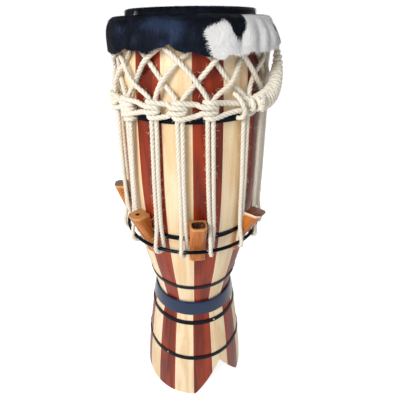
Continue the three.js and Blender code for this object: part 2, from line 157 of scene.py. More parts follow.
# %% [markdown]
# ## Helpers for node trees
# Geometry trees and shader trees are built by the same small functions. One adds a node, sets its
# options, and fills its inputs by name or place: a wire is linked in, and anything else becomes the
# value. A wire is a node's output that plain sums can be written with, so the rules of a tree read
# as they would on paper.

# %% Node helpers
class Wire:
    """A node's output. Each sign of a sum adds one math node to the output's own tree."""

    def __init__(self, tree, socket):
        self.tree, self.socket = tree, socket

    def __add__(self, other):
        return calculate(self.tree, "ADD", self, other)

    def __sub__(self, other):
        return calculate(self.tree, "SUBTRACT", self, other)

    def __rsub__(self, other):
        return calculate(self.tree, "SUBTRACT", other, self)

    def __mul__(self, other):
        return calculate(self.tree, "MULTIPLY", self, other)

    def __truediv__(self, other):
        return calculate(self.tree, "DIVIDE", self, other)


def fill(tree, node, inputs):
    """Links a wire into each named input, and makes anything else the input's value."""
    for name, value in inputs.items():
        if isinstance(value, Wire):
            tree.links.new(value.socket, node.inputs[name])
        else:
            node.inputs[name].default_value = value


def add_node(tree, kind, inputs=None, **options):
    node = tree.nodes.new(kind)
    for name, value in options.items():
        setattr(node, name, value)
    fill(tree, node, inputs or {})
    return node


def read(tree, kind, output=0, inputs=None, **options):
    """Adds a node and returns one of its outputs, by name or place, as a wire."""
    return Wire(tree, add_node(tree, kind, inputs, **options).outputs[output])


def calculate(tree, operation, first, second=0.0):
    """One sum on numbers, such as MULTIPLY, and its answer."""
    return read(tree, "ShaderNodeMath", 0, {0: first, 1: second}, operation=operation)


def calculate_vector(tree, operation, first, second=(0, 0, 0)):
    answer = "Value" if operation == "LENGTH" else "Vector"
    return read(tree, "ShaderNodeVectorMath", answer, {0: first, 1: second}, operation=operation)


print("wires add, subtract, multiply and divide")

# %% [markdown]
# Most looks come from the same few steps: split a place into its parts, read noise at it, move the
# answer into a range, and blend two colours by it. Each step is one function.

# %% Texture helpers
def separate(tree, vector):
    """The three parts of a vector."""
    node = tree.nodes.new("ShaderNodeSeparateXYZ")
    fill(tree, node, {"Vector": vector})
    return [Wire(tree, output) for output in node.outputs]


def combine(tree, x=0.0, y=0.0, z=0.0):
    return read(tree, "ShaderNodeCombineXYZ", 0, {"X": x, "Y": y, "Z": z})


def blend_colors(tree, share, first, second):
    return read(tree, "ShaderNodeMix", 2, {0: share, 6: first, 7: second}, data_type="RGBA")


def map_range(tree, value, low, high, to_low=0.0, to_high=1.0, way="SMOOTHSTEP"):
    return read(
        tree, "ShaderNodeMapRange", 0,
        {"Value": value, "From Min": low, "From Max": high, "To Min": to_low, "To Max": to_high},
        interpolation_type=way)


def noise(tree, vector, scale, detail=3.0, roughness=0.55, distortion=0.0):
    """Noise from 0 to 1. Three scales in place of one stretch it along the axes."""
    if isinstance(scale, tuple):
        vector, scale = calculate_vector(tree, "MULTIPLY", vector, scale), 1.0
    return read(
        tree, "ShaderNodeTexNoise", "Fac",
        {"Vector": vector, "Scale": scale, "Detail": detail, "Roughness": roughness,
         "Distortion": distortion})


def mark(tree, name, output="Fac"):
    """An attribute of the mesh, read by a material."""
    return read(tree, "ShaderNodeAttribute", output, attribute_name=name)


def object_place(tree):
    return read(tree, "ShaderNodeTexCoord", "Object")


print("texture helpers are ready")

# %% [markdown]
# What several materials or pieces share becomes a group with named sockets, much as a function has
# named arguments. Every geometry tree ends in the same way, so its end is a function too.

# %% Group helpers
def start_group(name, kind, inputs, outputs):
    """A node group with named sockets. Returns the tree, its inputs by name and its output node."""
    tree = bpy.data.node_groups.new(name, kind)
    for label, socket_type, value in inputs:
        socket = tree.interface.new_socket(label, in_out="INPUT", socket_type=socket_type)
        if value is not None:
            socket.default_value = value
    for label, socket_type in outputs:
        tree.interface.new_socket(label, in_out="OUTPUT", socket_type=socket_type)
    inside = tree.nodes.new("NodeGroupInput").outputs
    given = {socket.name: Wire(tree, socket) for socket in inside}
    return tree, given, tree.nodes.new("NodeGroupOutput")


def use_group(tree, group, inputs):
    node = tree.nodes.new("ShaderNodeGroup")
    node.node_tree = group
    fill(tree, node, inputs)
    return {socket.name: Wire(tree, socket) for socket in node.outputs}


def end_tree(tree, out, geometry, material):
    """Makes real mesh of what the tree has built, gives it its material and hands it out."""
    real = read(tree, "GeometryNodeRealizeInstances", 0, {"Geometry": geometry})
    coated = read(tree, "GeometryNodeSetMaterial", 0, {"Geometry": real, "Material": material})
    fill(tree, out, {"Geometry": coated})


print("node helpers are ready")

# %% [markdown]
# ## Helpers for meshes
# A piece is a new object whose place is in its mesh. The drum turns about an upright axis, so most
# points are said as azimuth, radius and height: azimuth 0 is the front, and it grows to the right.
# A Geometry Nodes tree is put on a piece as a modifier, its result is turned into a plain mesh, and
# the modifier goes, so only the plain mesh is left.

# %% Mesh helpers
def around(azimuth, radius, height):
    """A point in metres from degrees and two lengths in millimetres."""
    a = math.radians(azimuth)
    return Vector((axis_x + radius * mm * math.sin(a), -radius * mm * math.cos(a), height * mm))


def shade_smooth(mesh):
    mesh.polygons.foreach_set("use_smooth", [True] * len(mesh.polygons))


def new_piece(name, points, faces):
    mesh = bpy.data.meshes.new(name)
    mesh.from_pydata([tuple(p) for p in points], [], faces)
    mesh.validate()
    shade_smooth(mesh)
    return put(name, mesh)


def loft(sections):
    """Points and faces of a closed solid through sections, each a list of points of the same count."""
    count = len(sections[0])
    points = [p for section in sections for p in section]
    faces = [(s * count + k, s * count + (k + 1) % count,
              (s + 1) * count + (k + 1) % count, (s + 1) * count + k)
             for s in range(len(sections) - 1) for k in range(count)]
    last = (len(sections) - 1) * count
    faces += [tuple(range(count))[::-1], tuple(last + k for k in range(count))]
    return points, faces


def outward_faces(piece):
    shape = bmesh.new()
    shape.from_mesh(piece.data)
    bmesh.ops.recalc_face_normals(shape, faces=shape.faces)
    shape.to_mesh(piece.data)
    shape.free()


print("mesh makers are ready")

# %% [markdown]
# What a modifier or a tree makes is settled at once. Every later step then works on plain points
# and faces, and nothing depends on what comes after it.

# %% Growing helpers
def settle(piece):
    """Turns what the modifiers make into the piece's own plain mesh."""
    bpy.context.view_layer.update()
    evaluated = piece.evaluated_get(bpy.context.evaluated_depsgraph_get())
    mesh = bpy.data.meshes.new_from_object(evaluated)
    piece.modifiers.clear()
    piece.data = mesh
    return piece


def grow(piece, tree, inputs):
    """Runs a Geometry Nodes tree on the piece, with its inputs given by name."""
    modifier = piece.modifiers.new(tree.name, "NODES")
    modifier.node_group = tree
    identifiers = {
        item.name: item.identifier for item in tree.interface.items_tree
        if item.item_type == "SOCKET" and item.in_out == "INPUT"
    }
    for name, value in inputs.items():
        modifier[identifiers[name]] = value
    return settle(piece)


print("growing helpers are ready")

# %% [markdown]
# Grain, wear and hair have to know where on a piece a point lies. The mesh carries that as
# attributes, which the materials read by name. The last function hands a finished piece over.

# %% Marks on the mesh
def write_attribute(piece, name, values, kind="FLOAT"):
    attribute = piece.data.attributes.new(name, kind, "POINT")
    field = "vector" if kind == "FLOAT_VECTOR" else "value"
    attribute.data.foreach_set(field, np.asarray(values, np.float32).ravel())


def points_of(piece):
    flat = np.zeros(len(piece.data.vertices) * 3)
    piece.data.vertices.foreach_get("co", flat)
    return flat.reshape(-1, 3)


def write_edges(piece, strongest=0.5):
    """An attribute that is 1 on outward edges and 0 on flat or hollow places, for wear on corners and, on the
    wedges, a painted edge highlight.
    """
    shape = bmesh.new()
    shape.from_mesh(piece.data)
    shape.normal_update()
    bend = [
        sum(e.calc_face_angle_signed(0.0) for e in v.link_edges) / max(len(v.link_edges), 1)
        for v in shape.verts
    ]
    shape.free()
    write_attribute(piece, "edge", np.clip(np.array(bend) / strongest, 0, 1))


def sharpen(piece, degrees):
    """Smooth shading, except where two faces meet at more than this angle."""
    piece.data.set_sharp_from_angle(angle=math.radians(degrees))


finished = []


def done(piece, slot, *nodes):
    """Rides the piece on the drum and hides the solids that it stands for; the slot is not used."""
    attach(piece, "root")
    if nodes:
        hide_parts(*nodes)
    finished.append((piece.name, len(piece.data.polygons)))
    return piece


print("mesh helpers are ready")

# %% [markdown]
# ## The wood
# Two woods alternate round the drum: a golden pale one and a red-brown one, both under satin
# varnish. Wood isn't a picture stuck on a board. It grows in rings about a pith, and a saw cuts
# through them, so the group below works in the board's own three directions: across, into and
# along it. Rings, long fibres and short dark pores come from the same three numbers, and a face
# cut across the grain shows rings of its own accord.

# %% Wood grain group
wood_grain, given, out = start_group(
    "wood_grain", "ShaderNodeTree",
    [("Board", "NodeSocketVector", None), ("Light", "NodeSocketColor", tint(230, 190, 130)),
     ("Dark", "NodeSocketColor", tint(190, 140, 80)), ("Pore", "NodeSocketColor", tint(110, 60, 30)),
     ("Ring width", "NodeSocketFloat", 0.004), ("Pore share", "NodeSocketFloat", 0.3)],
    [("Color", "NodeSocketColor"), ("Roughness", "NodeSocketFloat"), ("Height", "NodeSocketFloat")],
)
board = given["Board"]
pith_offset, ring_wobble = (0.02, 0.09, 0), 0.03
wander = noise(wood_grain, board, (18, 18, 3), 2.0)
across_board, into_board, _ = separate(wood_grain, board)
cross_section = combine(wood_grain, across_board, into_board)
from_pith = calculate_vector(
    wood_grain, "LENGTH", calculate_vector(wood_grain, "ADD", cross_section, pith_offset))
ring_count = (from_pith + wander * ring_wobble) / given["Ring width"]
rings = map_range(wood_grain, calculate(wood_grain, "PINGPONG", ring_count, 1.0), 0.15, 0.95)
fibres = noise(wood_grain, board, (900, 900, 14), 4.0, 0.6)
bands = noise(wood_grain, board, (150, 150, 2.5), 3.0, 0.6)
pores = map_range(wood_grain, noise(wood_grain, board, (1500, 1500, 90), 2.0, 0.5), 0.62, 0.72)
pore_mask = pores * given["Pore share"]
tone = rings * 0.35 + (fibres * 0.5 + bands * 0.75)
wood_color = blend_colors(wood_grain, map_range(wood_grain, tone, 0.45, 1.2), given["Light"], given["Dark"])
broad = map_range(wood_grain, noise(wood_grain, board, (30, 30, 0.6), 2.0, 0.5), 0.35, 0.75, 0.0, 0.42)
wood_color = blend_colors(wood_grain, broad, wood_color, given["Dark"])
fill(wood_grain, out, {
    "Color": blend_colors(wood_grain, pore_mask, wood_color, given["Pore"]),
    "Roughness": map_range(wood_grain, fibres, 0.3, 0.8, 0.3, 0.48),
    "Height": fibres - pore_mask,
})
print("wood_grain nodes:", len(wood_grain.nodes))

# %% [markdown]
# Worn corners show on wood and on painted steel alike, so wear is a group of its own; on the wedges
# the pale colour that it lays on the edges is a painted highlight as well as wear. It takes the edge
# attribute of the mesh, breaks it up with noise, and gives back a mask.

# %% Wear group
edge_wear_and_highlight, given, out = start_group(
    "edge_wear_and_highlight", "ShaderNodeTree",
    [("Amount", "NodeSocketFloat", 0.5), ("Grain size", "NodeSocketFloat", 220.0)],
    [("Mask", "NodeSocketFloat")],
)
edge = mark(edge_wear_and_highlight, "edge")
patchy = noise(edge_wear_and_highlight, object_place(edge_wear_and_highlight), given["Grain size"], 4.0, 0.65)
wear_and_highlight_mask = map_range(edge_wear_and_highlight, edge + patchy * given["Amount"], 0.62, 0.95)
fill(edge_wear_and_highlight, out, {"Mask": wear_and_highlight_mask * map_range(edge_wear_and_highlight, edge, 0.05, 0.3)})
print("edge_wear_and_highlight nodes:", len(edge_wear_and_highlight.nodes))

# %% [markdown]
# The drum has three woods, and they differ only in their colours, the width of their rings, how
# many pores show and how far the corners are lightened: wear on the staves, and on the wedges a
# painted highlight as well as wear. So one function makes all three. A thin clear coat over the
# colour is the varnish.

# %% Wood materials
def start_material(name):
    material = bpy.data.materials.new(name)
    material.use_nodes = True
    tree = material.node_tree
    return material, tree, tree.nodes["Principled BSDF"]


def bump(tree, shader, height, depth, strength=1.0):
    fill(tree, shader, {"Normal": read(
        tree, "ShaderNodeBump", "Normal", {"Height": height, "Distance": depth, "Strength": strength})})


def wood_material(name, light, dark, pore, worn, ring_width, pore_share, coat=0.14, wear=0.05):
    material, tree, shader = start_material(name)
    grain = use_group(tree, wood_grain, {
        "Board": mark(tree, "board", "Vector"), "Light": light, "Dark": dark, "Pore": pore,
        "Ring width": ring_width, "Pore share": pore_share,
    })
    mask = use_group(tree, edge_wear_and_highlight, {"Amount": wear, "Grain size": 160.0})["Mask"]
    fill(tree, shader, {
        "Base Color": blend_colors(tree, mask, grain["Color"], worn), "Roughness": grain["Roughness"],
        "Specular IOR Level": 0.3, "Coat Weight": coat, "Coat Roughness": 0.14,
    })
    bump(tree, shader, grain["Height"], 0.00012)
    return material


pale_wood = wood_material(
    "pale_wood", tint(252, 232, 198), tint(236, 200, 150), tint(184, 134, 84), tint(253, 238, 210),
    0.0045, 0.5)
dark_wood = wood_material(
    "dark_wood", tint(168, 58, 20), tint(98, 28, 12), tint(40, 12, 8), tint(176, 84, 44), 0.005, 0.7)
# On the wedges the pale edge colour, laid on strongly, is a painted highlight on the edges as well as wear
wedge_wood = wood_material(
    "wedge_wood", tint(212, 130, 54), tint(172, 90, 30), tint(96, 46, 20), tint(226, 160, 92),
    0.0032, 0.5, 0.12, 0.6)
print("woods:", [m.name for m in (pale_wood, dark_wood, wedge_wood)])

# %% [markdown]
# ## The staves
# The shell is cooper's work: sixteen tapered boards are bent, glued edge to edge and turned smooth,
# once for the waisted body and once for the flared foot. The solids are straight between a few
# levels. Here each board starts as a plain block with many cross lines, and a Geometry Nodes tree
# bends it: the tree reads the outline curve at each height and wraps the block's width round the
# drum's axis. One tree does all thirty-two boards, because only angles and outline differ.

# %% Shell outline
foot_height, body_top = 316.0, 1001.5
foot_levels = [(0, 152), (60, 147), (147.9, 136.6), (271.1, 118.3), (316, 107.6)]
body_levels = [(316, 99.5), (392.8, 114.6), (460, 129.5), (564.8, 145.5), (689.6, 152.2),
               (821.9, 149.1), (953.5, 137.6), (990.5, 121.7), (1001.5, 119)]


def smooth_through(levels, heights):
    """Radius at each height by a curve through the levels that never overshoots them."""
    z, r = (np.array(v, float) for v in zip(*levels))
    slope = np.diff(r) / np.diff(z)
    tangent = np.zeros(len(z))
    same_way = slope[:-1] * slope[1:] > 0
    before, after = slope[:-1][same_way], slope[1:][same_way]
    tangent[1:-1][same_way] = 2 * before * after / (before + after)
    tangent[0], tangent[-1] = slope[0], slope[-1]
    k = np.clip(np.searchsorted(z, heights) - 1, 0, len(z) - 2)
    width = z[k + 1] - z[k]
    t = (heights - z[k]) / width
    return (
        (2 * t**3 - 3 * t**2 + 1) * r[k] + (t**3 - 2 * t**2 + t) * width * tangent[k]
        + (3 * t**2 - 2 * t**3) * r[k + 1] + (t**3 - t**2) * width * tangent[k + 1]
    )


def shell_radius(height, levels=body_levels):
    return float(smooth_through(levels, np.array([float(height)]))[0])


def outline_object(name, levels, low, high, count=90):
    """A polyline of the outline that the tree samples: radius along X, height along Z."""
    heights = np.linspace(low, high, count)
    radii = smooth_through(levels, heights)
    curve = bpy.data.curves.new(name, "CURVE")
    curve.dimensions = "3D"
    line = curve.splines.new("POLY")
    line.points.add(count - 1)
    for point, r, z in zip(line.points, radii, heights):
        point.co = (r * mm, 0, z * mm, 1)
    return put(name, curve)


seam = 0.3
foot_outline = outline_object("foot_outline", foot_levels, 0, foot_height - seam / 2)
body_outline = outline_object("body_outline", body_levels, foot_height + seam / 2, body_top)
print("shell radius at the belly:", round(shell_radius(690), 1), "mm")

# %% [markdown]
# Every board takes the same share of the round at every height, less the glue line. The tree keeps
# to that: it reads where a point lies across, into and along the block, and turns that into an
# angle, a radius and a height. The outer edges are eased a little, because two boards never meet
# in one flawless surface, and that fine line is what the eye reads as a seam.

# %% Stave tree
bend_stave, given, out = start_group(
    "bend_stave", "GeometryNodeTree",
    [("Geometry", "NodeSocketGeometry", None), ("Outline", "NodeSocketObject", None),
     ("From", "NodeSocketFloat", 0.0), ("To", "NodeSocketFloat", 0.3927),
     ("Wall", "NodeSocketFloat", 0.014), ("Seam", "NodeSocketFloat", 0.0003),
     ("Eased edge", "NodeSocketFloat", 0.00035), ("Axis X", "NodeSocketFloat", 0.0),
     ("Notch width", "NodeSocketFloat", 0.0), ("Notch height", "NodeSocketFloat", 0.116),
     ("Notch azimuth", "NodeSocketFloat", 0.515), ("Material", "NodeSocketMaterial", None)],
    [("Geometry", "NodeSocketGeometry")],
)
block = read(bend_stave, "GeometryNodeMeshCube", "Mesh",
             {"Size": (1, 1, 1), "Vertices X": 9, "Vertices Y": 3, "Vertices Z": 72})
aside, inward, upright = separate(bend_stave, read(bend_stave, "GeometryNodeInputPosition"))
side = calculate(bend_stave, "SIGN", aside)
off_middle = calculate(bend_stave, "ABSOLUTE", aside)
# The last column but one is drawn out to just beside the edge, so that the edge is eased in one
# narrow step: the two numbers add up to half of the block's width
last_but_one, narrow_step = 0.4935, 0.0065
widened = map_range(bend_stave, off_middle, 0.0, 0.375, 0.0, last_but_one, "LINEAR")
at_edge = calculate(bend_stave, "GREATER_THAN", off_middle, 0.49)
across = side * (widened + at_edge * narrow_step)
outline_curve = read(bend_stave, "GeometryNodeObjectInfo", "Geometry", {"Object": given["Outline"]})
sampled = read(bend_stave, "GeometryNodeSampleCurve", "Position",
               {"Curves": outline_curve, "Factor": upright + 0.5}, mode="FACTOR")
outline_radius, _, level = separate(bend_stave, sampled)
depth = (inward + 0.5) * given["Wall"]
outer_edge = at_edge * calculate(bend_stave, "LESS_THAN", inward, -0.4)
radius = outline_radius - depth - outer_edge * given["Eased edge"]
middle_angle = (given["From"] + given["To"]) * 0.5
board_angle = given["To"] - given["From"] - given["Seam"] / radius
angle = middle_angle + across * board_angle
bent = combine(
    bend_stave, given["Axis X"] + radius * calculate(bend_stave, "SINE", angle),
    radius * (calculate(bend_stave, "COSINE", angle) * -1.0), level)
bent_block = read(bend_stave, "GeometryNodeSetPosition", 0, {"Geometry": block, "Position": bent})
print("stave tree so far:", len(bend_stave.nodes), "nodes")

# %% [markdown]
# The sound leaves the foot through a V-shaped notch. It is sawn straight through the bent boards, so
# the tree cuts it last, with a three-sided prism, and only on boards that ask for a notch.

# %% Stave tree, the notch
def moved(tree, geometry, **changes):
    return read(tree, "GeometryNodeTransform", 0, {"Geometry": geometry, **changes})


below = 0.005
full_height = given["Notch height"] + below
full_width = given["Notch width"] * (full_height / given["Notch height"])
prism = read(bend_stave, "GeometryNodeMeshCylinder", "Mesh",
             {"Vertices": 3, "Radius": 1.0, "Depth": 1.0})
quarter = math.pi / 2
prism = moved(bend_stave, prism, Rotation=(0, 0, quarter))
prism = moved(bend_stave, prism, Rotation=(quarter, 0, 0))
prism = moved(
    bend_stave, prism, Translation=combine(bend_stave, 0.0, -0.12, full_height / 3.0 - below),
    Scale=combine(bend_stave, full_width / math.sqrt(3), 0.16, full_height / 1.5))
prism = moved(
    bend_stave, prism, Translation=combine(bend_stave, given["Axis X"]),
    Rotation=combine(bend_stave, 0.0, 0.0, given["Notch azimuth"]))
sawn = read(bend_stave, "GeometryNodeMeshBoolean", "Mesh", {"Mesh 1": bent_block, "Mesh 2": prism},
            operation="DIFFERENCE", solver="EXACT")
has_notch = calculate(bend_stave, "GREATER_THAN", given["Notch width"], 0.0)
chosen = read(bend_stave, "GeometryNodeSwitch", 0,
              {"Switch": has_notch, "False": bent_block, "True": sawn}, input_type="GEOMETRY")
end_tree(bend_stave, out, chosen, given["Material"])
print("bend_stave nodes:", len(bend_stave.nodes))

# %% [markdown]
# Sixteen boards make the body and sixteen the foot, dark and pale in turn. Each board is cut from a
# place of its own in the log, so each gets its own shift in the grain: two neighbours that look the
# same would give the copy away.

# %% Boards
stave_count, wall = 16, 14.0
body_turn, foot_turn = 0.7, -1.0
notch_azimuth, notch_width, notch_height = 31.5, 155.0, 116.0
notched = ("foot_stave_01", "foot_stave_02", "foot_stave_03")
random = np.random.default_rng(7)


def write_board(piece, azimuth, levels):
    """The board's own directions at each point: across it, into it and along it, at a place of its own."""
    points = points_of(piece)
    x, y = points[:, 0] - axis_x, points[:, 1]
    r = np.hypot(x, y)
    turn = np.degrees(np.arctan2(x, -y)) - azimuth
    turn = np.radians((turn + 180) % 360 - 180)
    depth = smooth_through(levels, points[:, 2] / mm) * mm - r
    shift = random.uniform((-0.03, 0.0, 0.0), (0.03, 0.2, 4.0))
    write_attribute(piece, "board", np.stack([turn * r, depth, points[:, 2]], 1) + shift, "FLOAT_VECTOR")


def make_boards(part, levels, outline, turn):
    width = 360 / stave_count
    for i in range(stave_count):
        number = f"{i + 1:02d}"
        node = f"{part}_stave_{number}"
        wood = dark_wood if i % 2 == 0 else pale_wood
        start, end = turn + i * width, turn + (i + 1) * width
        board = grow(new_piece(f"{part}_board_{number}", [], []), bend_stave, {
            "Outline": outline, "From": math.radians(start), "To": math.radians(end),
            "Wall": wall * mm, "Seam": seam * mm, "Axis X": axis_x,
            "Notch width": notch_width * mm if node in notched else 0.0,
            "Notch height": notch_height * mm, "Notch azimuth": math.radians(notch_azimuth),
            "Material": wood,
        })
        sharpen(board, 30)
        write_board(board, (start + end) / 2, levels)
        write_edges(board)
        done(board, "dark_wood" if i % 2 == 0 else "pale_wood", node)


make_boards("foot", foot_levels, foot_outline, foot_turn)
make_boards("body", body_levels, body_outline, body_turn)
for outline in (foot_outline, body_outline):
    bpy.data.objects.remove(outline)
print("boards:", len(finished), "faces:", sum(n for _, n in finished))

# %% [markdown]
# ## Painted steel
# Hoops, ring, flesh hoop and band are steel painted black; the band's navy colour is a painted
# sheen, a cold blue reflection put into its paint. Paint on hand-bent strip isn't even: it has a soft
# gloss, small dents that catch the light, and bare corners where rope and wedges rub.

# %% Steel materials
def painted_steel(name, paint, roughness, coat, wear):
    material, tree, shader = start_material(name)
    cloudy = noise(tree, object_place(tree), 45.0, 5.0, 0.6)
    fine = noise(tree, object_place(tree), 900.0, 2.0, 0.5)
    darker, bare = (*[v * 0.55 for v in paint[:3]], 1.0), tint(112, 114, 118)
    mask = use_group(tree, edge_wear_and_highlight, {"Amount": wear, "Grain size": 300.0})["Mask"]
    fill(tree, shader, {
        "Base Color": blend_colors(tree, mask, blend_colors(tree, cloudy, darker, paint), bare),
        "Roughness": map_range(tree, cloudy, 0.2, 0.8, roughness - 0.08, roughness + 0.12),
        "Metallic": mask * 0.8, "Specular IOR Level": 0.22, "Specular Tint": tint(160, 192, 255),
        "Coat Weight": coat, "Coat Roughness": 0.1,
    })
    bump(tree, shader, cloudy + fine * 0.08, 0.0006, 0.6)
    return material


black_steel = painted_steel("black_steel", tint(3, 4, 6), 0.34, 0.1, 0.06)
# The band's navy paint colour is a painted sheen over black
band_steel = painted_steel("black_band_painted_sheen", tint(14, 40, 80), 0.24, 1.0, 0.05)


def bare_steel(name):
    material, tree, shader = start_material(name)
    scratched = noise(tree, object_place(tree), 1400.0, 3.0)
    fill(tree, shader, {
        "Base Color": blend_colors(tree, scratched, tint(150, 152, 156), tint(226, 228, 230)),
        "Roughness": map_range(tree, scratched, 0.2, 0.8, 0.18, 0.4), "Metallic": 1.0,
    })
    return material


bright_steel = bare_steel("bright_steel")
print("steels are ready")

# %% [markdown]
# Hoops, band and rods are all turned about the drum's axis, so one function spins a closed outline
# with rounded corners. The strip follows the slope of the boards under it.

# %% Turned pieces
def eased(corners, radius, steps=3):
    """The outline with each corner rounded: short corners, given in order round the outline."""
    rounded = []
    for i, corner in enumerate(corners):
        next_corner = corners[(i + 1) % len(corners)]
        here, before, after = (np.array(p, float) for p in (corner, corners[i - 1], next_corner))
        back, ahead = before - here, after - here
        cut = min(radius, np.linalg.norm(back) / 2.2, np.linalg.norm(ahead) / 2.2)
        first = here + back / np.linalg.norm(back) * cut
        last = here + ahead / np.linalg.norm(ahead) * cut
        for t in np.linspace(0, 1, steps + 1):
            rounded.append((1 - t) ** 2 * first + 2 * t * (1 - t) * here + t**2 * last)
    return rounded


def spin(name, outline, material, segments=192):
    """A ring from a closed outline of radius and height in millimetres, faces outward."""
    count = len(outline)
    points = [around(360 * s / segments, r, z) for s in range(segments) for r, z in outline]
    area = sum(a[0] * b[1] - b[0] * a[1] for a, b in zip(outline, [*outline[1:], outline[0]]))
    faces = []
    for s in range(segments):
        here, there = s * count, (s + 1) % segments * count
        for k in range(count):
            n = (k + 1) % count
            face = (here + k, there + k, there + n, here + n)
            faces.append(face if area > 0 else face[::-1])
    piece = new_piece(name, points, faces)
    piece.data.materials.append(material)
    return piece


print("a rounded square has", len(eased([(0, 0), (9, 0), (9, 9), (0, 9)], 1)), "corners")

# %% [markdown]
# A hoop is a flat strip, 12 mm wide, closed to a ring. It is driven over the taper until it grips,
# so it leans with the boards under it.

# %% Hoops
strap_width, strap_thickness, strap_slack = 12.0, 1.6, 0.6
strap_feet = {"upper": 822, "middle": 564, "lower": 389.5, "upper_foot": 265, "lower_foot": 142}


def strap(name, node, levels, foot):
    top = foot + strap_width
    low = shell_radius(foot, levels) + strap_slack
    high = shell_radius(top, levels) + strap_slack
    outline = eased([(low, foot), (low + strap_thickness, foot), (high + strap_thickness, top),
                     (high, top)], 0.5)
    hoop = spin(name, outline, black_steel)
    sharpen(hoop, 50)
    write_edges(hoop)
    done(hoop, "black_steel", node)


for place, foot in strap_feet.items():
    strap(f"{place}_strap", f"{place}_hoop", foot_levels if "foot" in place else body_levels, foot)
print("hoops:", [name for name, _ in finished[2 * stave_count:]])

# %% [markdown]
# The ring and the flesh hoop are round rod, bent to a circle and welded. The band is a wide strip
# over the joint of body and foot, whose top edge is rolled in towards the waist.

# %% Rods and band
def rod(name, node, radius, height, half):
    outline = [(radius + half * math.cos(a), height + half * math.sin(a))
               for a in np.linspace(0, 2 * math.pi, 16, endpoint=False)]
    ring = spin(name, outline, black_steel)
    write_edges(ring)
    done(ring, "black_steel", node)


ring_radius, ring_height, ring_half = 164.5, 545.0, 4.0
hoop_radius, hoop_height, hoop_half = 145.0, 984.5, 5.0
rod("round_ring", "tension_ring", ring_radius, ring_height, ring_half)
rod("round_flesh_hoop", "flesh_hoop", hoop_radius, hoop_height, hoop_half)

band_bottom, band_top = 297.0, 336.0
band_inner = shell_radius(band_bottom, foot_levels) + 0.5
band = spin("navy_band", eased([
    (band_inner, band_bottom), (band_inner + 3.2, band_bottom), (109.4, band_top - 5), (107.2, band_top),
    (105.0, band_top - 1), (105.0, band_top - 8)], 1.6, 5), band_steel)
write_edges(band)
done(band, "black_steel", "waist_band")
print("rods and band:", [name for name, _ in finished[-3:]])

# %% [markdown]
# The ends of each foot hoop overlap and are held by one rivet, which is hammered round at the
# front. Its head is a low dome, so it is lofted from five circles that grow smaller outwards. It is
# left bright, because paint doesn't last on a hammered head.

# %% Rivets
def rivet(name, node, foot, azimuth):
    """A low domed head on a strap of the foot."""
    height = foot + strap_width / 2
    seat = shell_radius(height, foot_levels) + strap_slack + strap_thickness
    outward = (around(azimuth, 1, 0) - around(azimuth, 0, 0)).normalized()
    upward = Vector((0, 0, 1))
    aside = outward.cross(upward)
    dome = [(3.0, 0.0), (3.0, 0.35), (2.6, 0.95), (1.6, 1.45), (0.6, 1.6)]
    turns = [2 * math.pi * k / 20 for k in range(20)]
    points, faces = loft([
        [around(azimuth, seat + rise, height) + (aside * math.cos(a) + upward * math.sin(a)) * r * mm
         for a in turns] for r, rise in dome])
    head = new_piece(name, points, faces)
    outward_faces(head)
    head.data.materials.append(bright_steel)
    sharpen(head, 40)
    done(head, "bright_steel", node)


rivet("upper_rivet_head", "upper_foot_rivet", strap_feet["upper_foot"], 27)
rivet("lower_rivet_head", "lower_foot_rivet", strap_feet["lower_foot"], -33.4)
print("rivets are on")

# %% [markdown]
# ## The wedges
# Eight hardwood wedges are driven down between the middle hoop and the round ring. Each is a small
# six-sided block, thick at the top, whose corners have been rubbed round by the mallet. The block is
# lofted from its section at fifteen heights, its edges are bevelled, and the two hollows that the
# front ones show, a deep recess and a knot hole, are cut with a soft-cornered plug.

# %% Wedge shape
wedge_bottom, wedge_top, wedge_width, wedge_chamfer = 507.0, 623.0, 35.0, 7.0
# Each wedge: its azimuth, how much higher its top stands, how much further it leans out above the
# ring and how fast its outer face leaves the ring
wedge_places = {
    1: (3.75, 0, 0, 0.47), 2: (48, 0, 0.13, 0.47), 3: (95, -10, 0, 0.25), 4: (138.75, 0, 0.04, 0.42),
    5: (183.75, 0, 0, 0.47), 6: (228.75, 0, 0.06, 0.42), 7: (273.75, 20, 0, 0.33), 8: (317.6, 0, 0, 0.47)}


def wedge_section(height, lean=0.0, spread=0.47):
    hoop_foot = strap_feet["middle"]
    seat = shell_radius(hoop_foot + strap_width) + 2.5
    leaned_out = lean * max(height - ring_height, 0)
    inner = seat + 0.13 * (height - hoop_foot) + leaned_out
    half = wedge_width / 2
    contact = math.sqrt((ring_radius - ring_half - 0.8) ** 2 - (half - wedge_chamfer) ** 2) - 0.3
    over_ring = height - ring_height - ring_half
    outer = contact + (spread if over_ring > 0 else 0.3) * over_ring + leaned_out
    chamfer = min(wedge_chamfer, (outer - inner) / 2)
    return [(-half, inner), (-half, outer - chamfer), (-half + wedge_chamfer, outer),
            (half - wedge_chamfer, outer), (half, outer - chamfer), (half, inner)]


def plug(width, reach, middle, depth):
    """A soft-cornered plug from above the wedge's top down to the given depth, a little narrower there."""
    sections = []
    floor_height = wedge_top - depth
    for height, size in (
            (wedge_top + 3, 1.05), (wedge_top - 1.5, 0.97), (floor_height + 3, 0.8), (floor_height, 0.6)):
        ring = []
        for a in np.linspace(0, 2 * math.pi, 28, endpoint=False):
            c, s = math.cos(a), math.sin(a)
            soft = (abs(c) ** 3.2 + abs(s) ** 3.2) ** (-1 / 3.2)
            ring.append((width / 2 * size * soft * c, middle + reach / 2 * size * soft * s, height))
        sections.append(ring)
    return loft(sections)


def out_from_axis(points, azimuth):
    """Points of a piece drawn as (aside, out from the axis, height) put at their azimuth."""
    a = math.radians(azimuth)
    return [Vector((axis_x + (x * math.cos(a) + r * math.sin(a)) * mm,
                    (x * math.sin(a) - r * math.cos(a)) * mm, z * mm)) for x, r, z in points]


print("wedge top section:", [(round(x, 1), round(r, 1)) for x, r in wedge_section(wedge_top)])
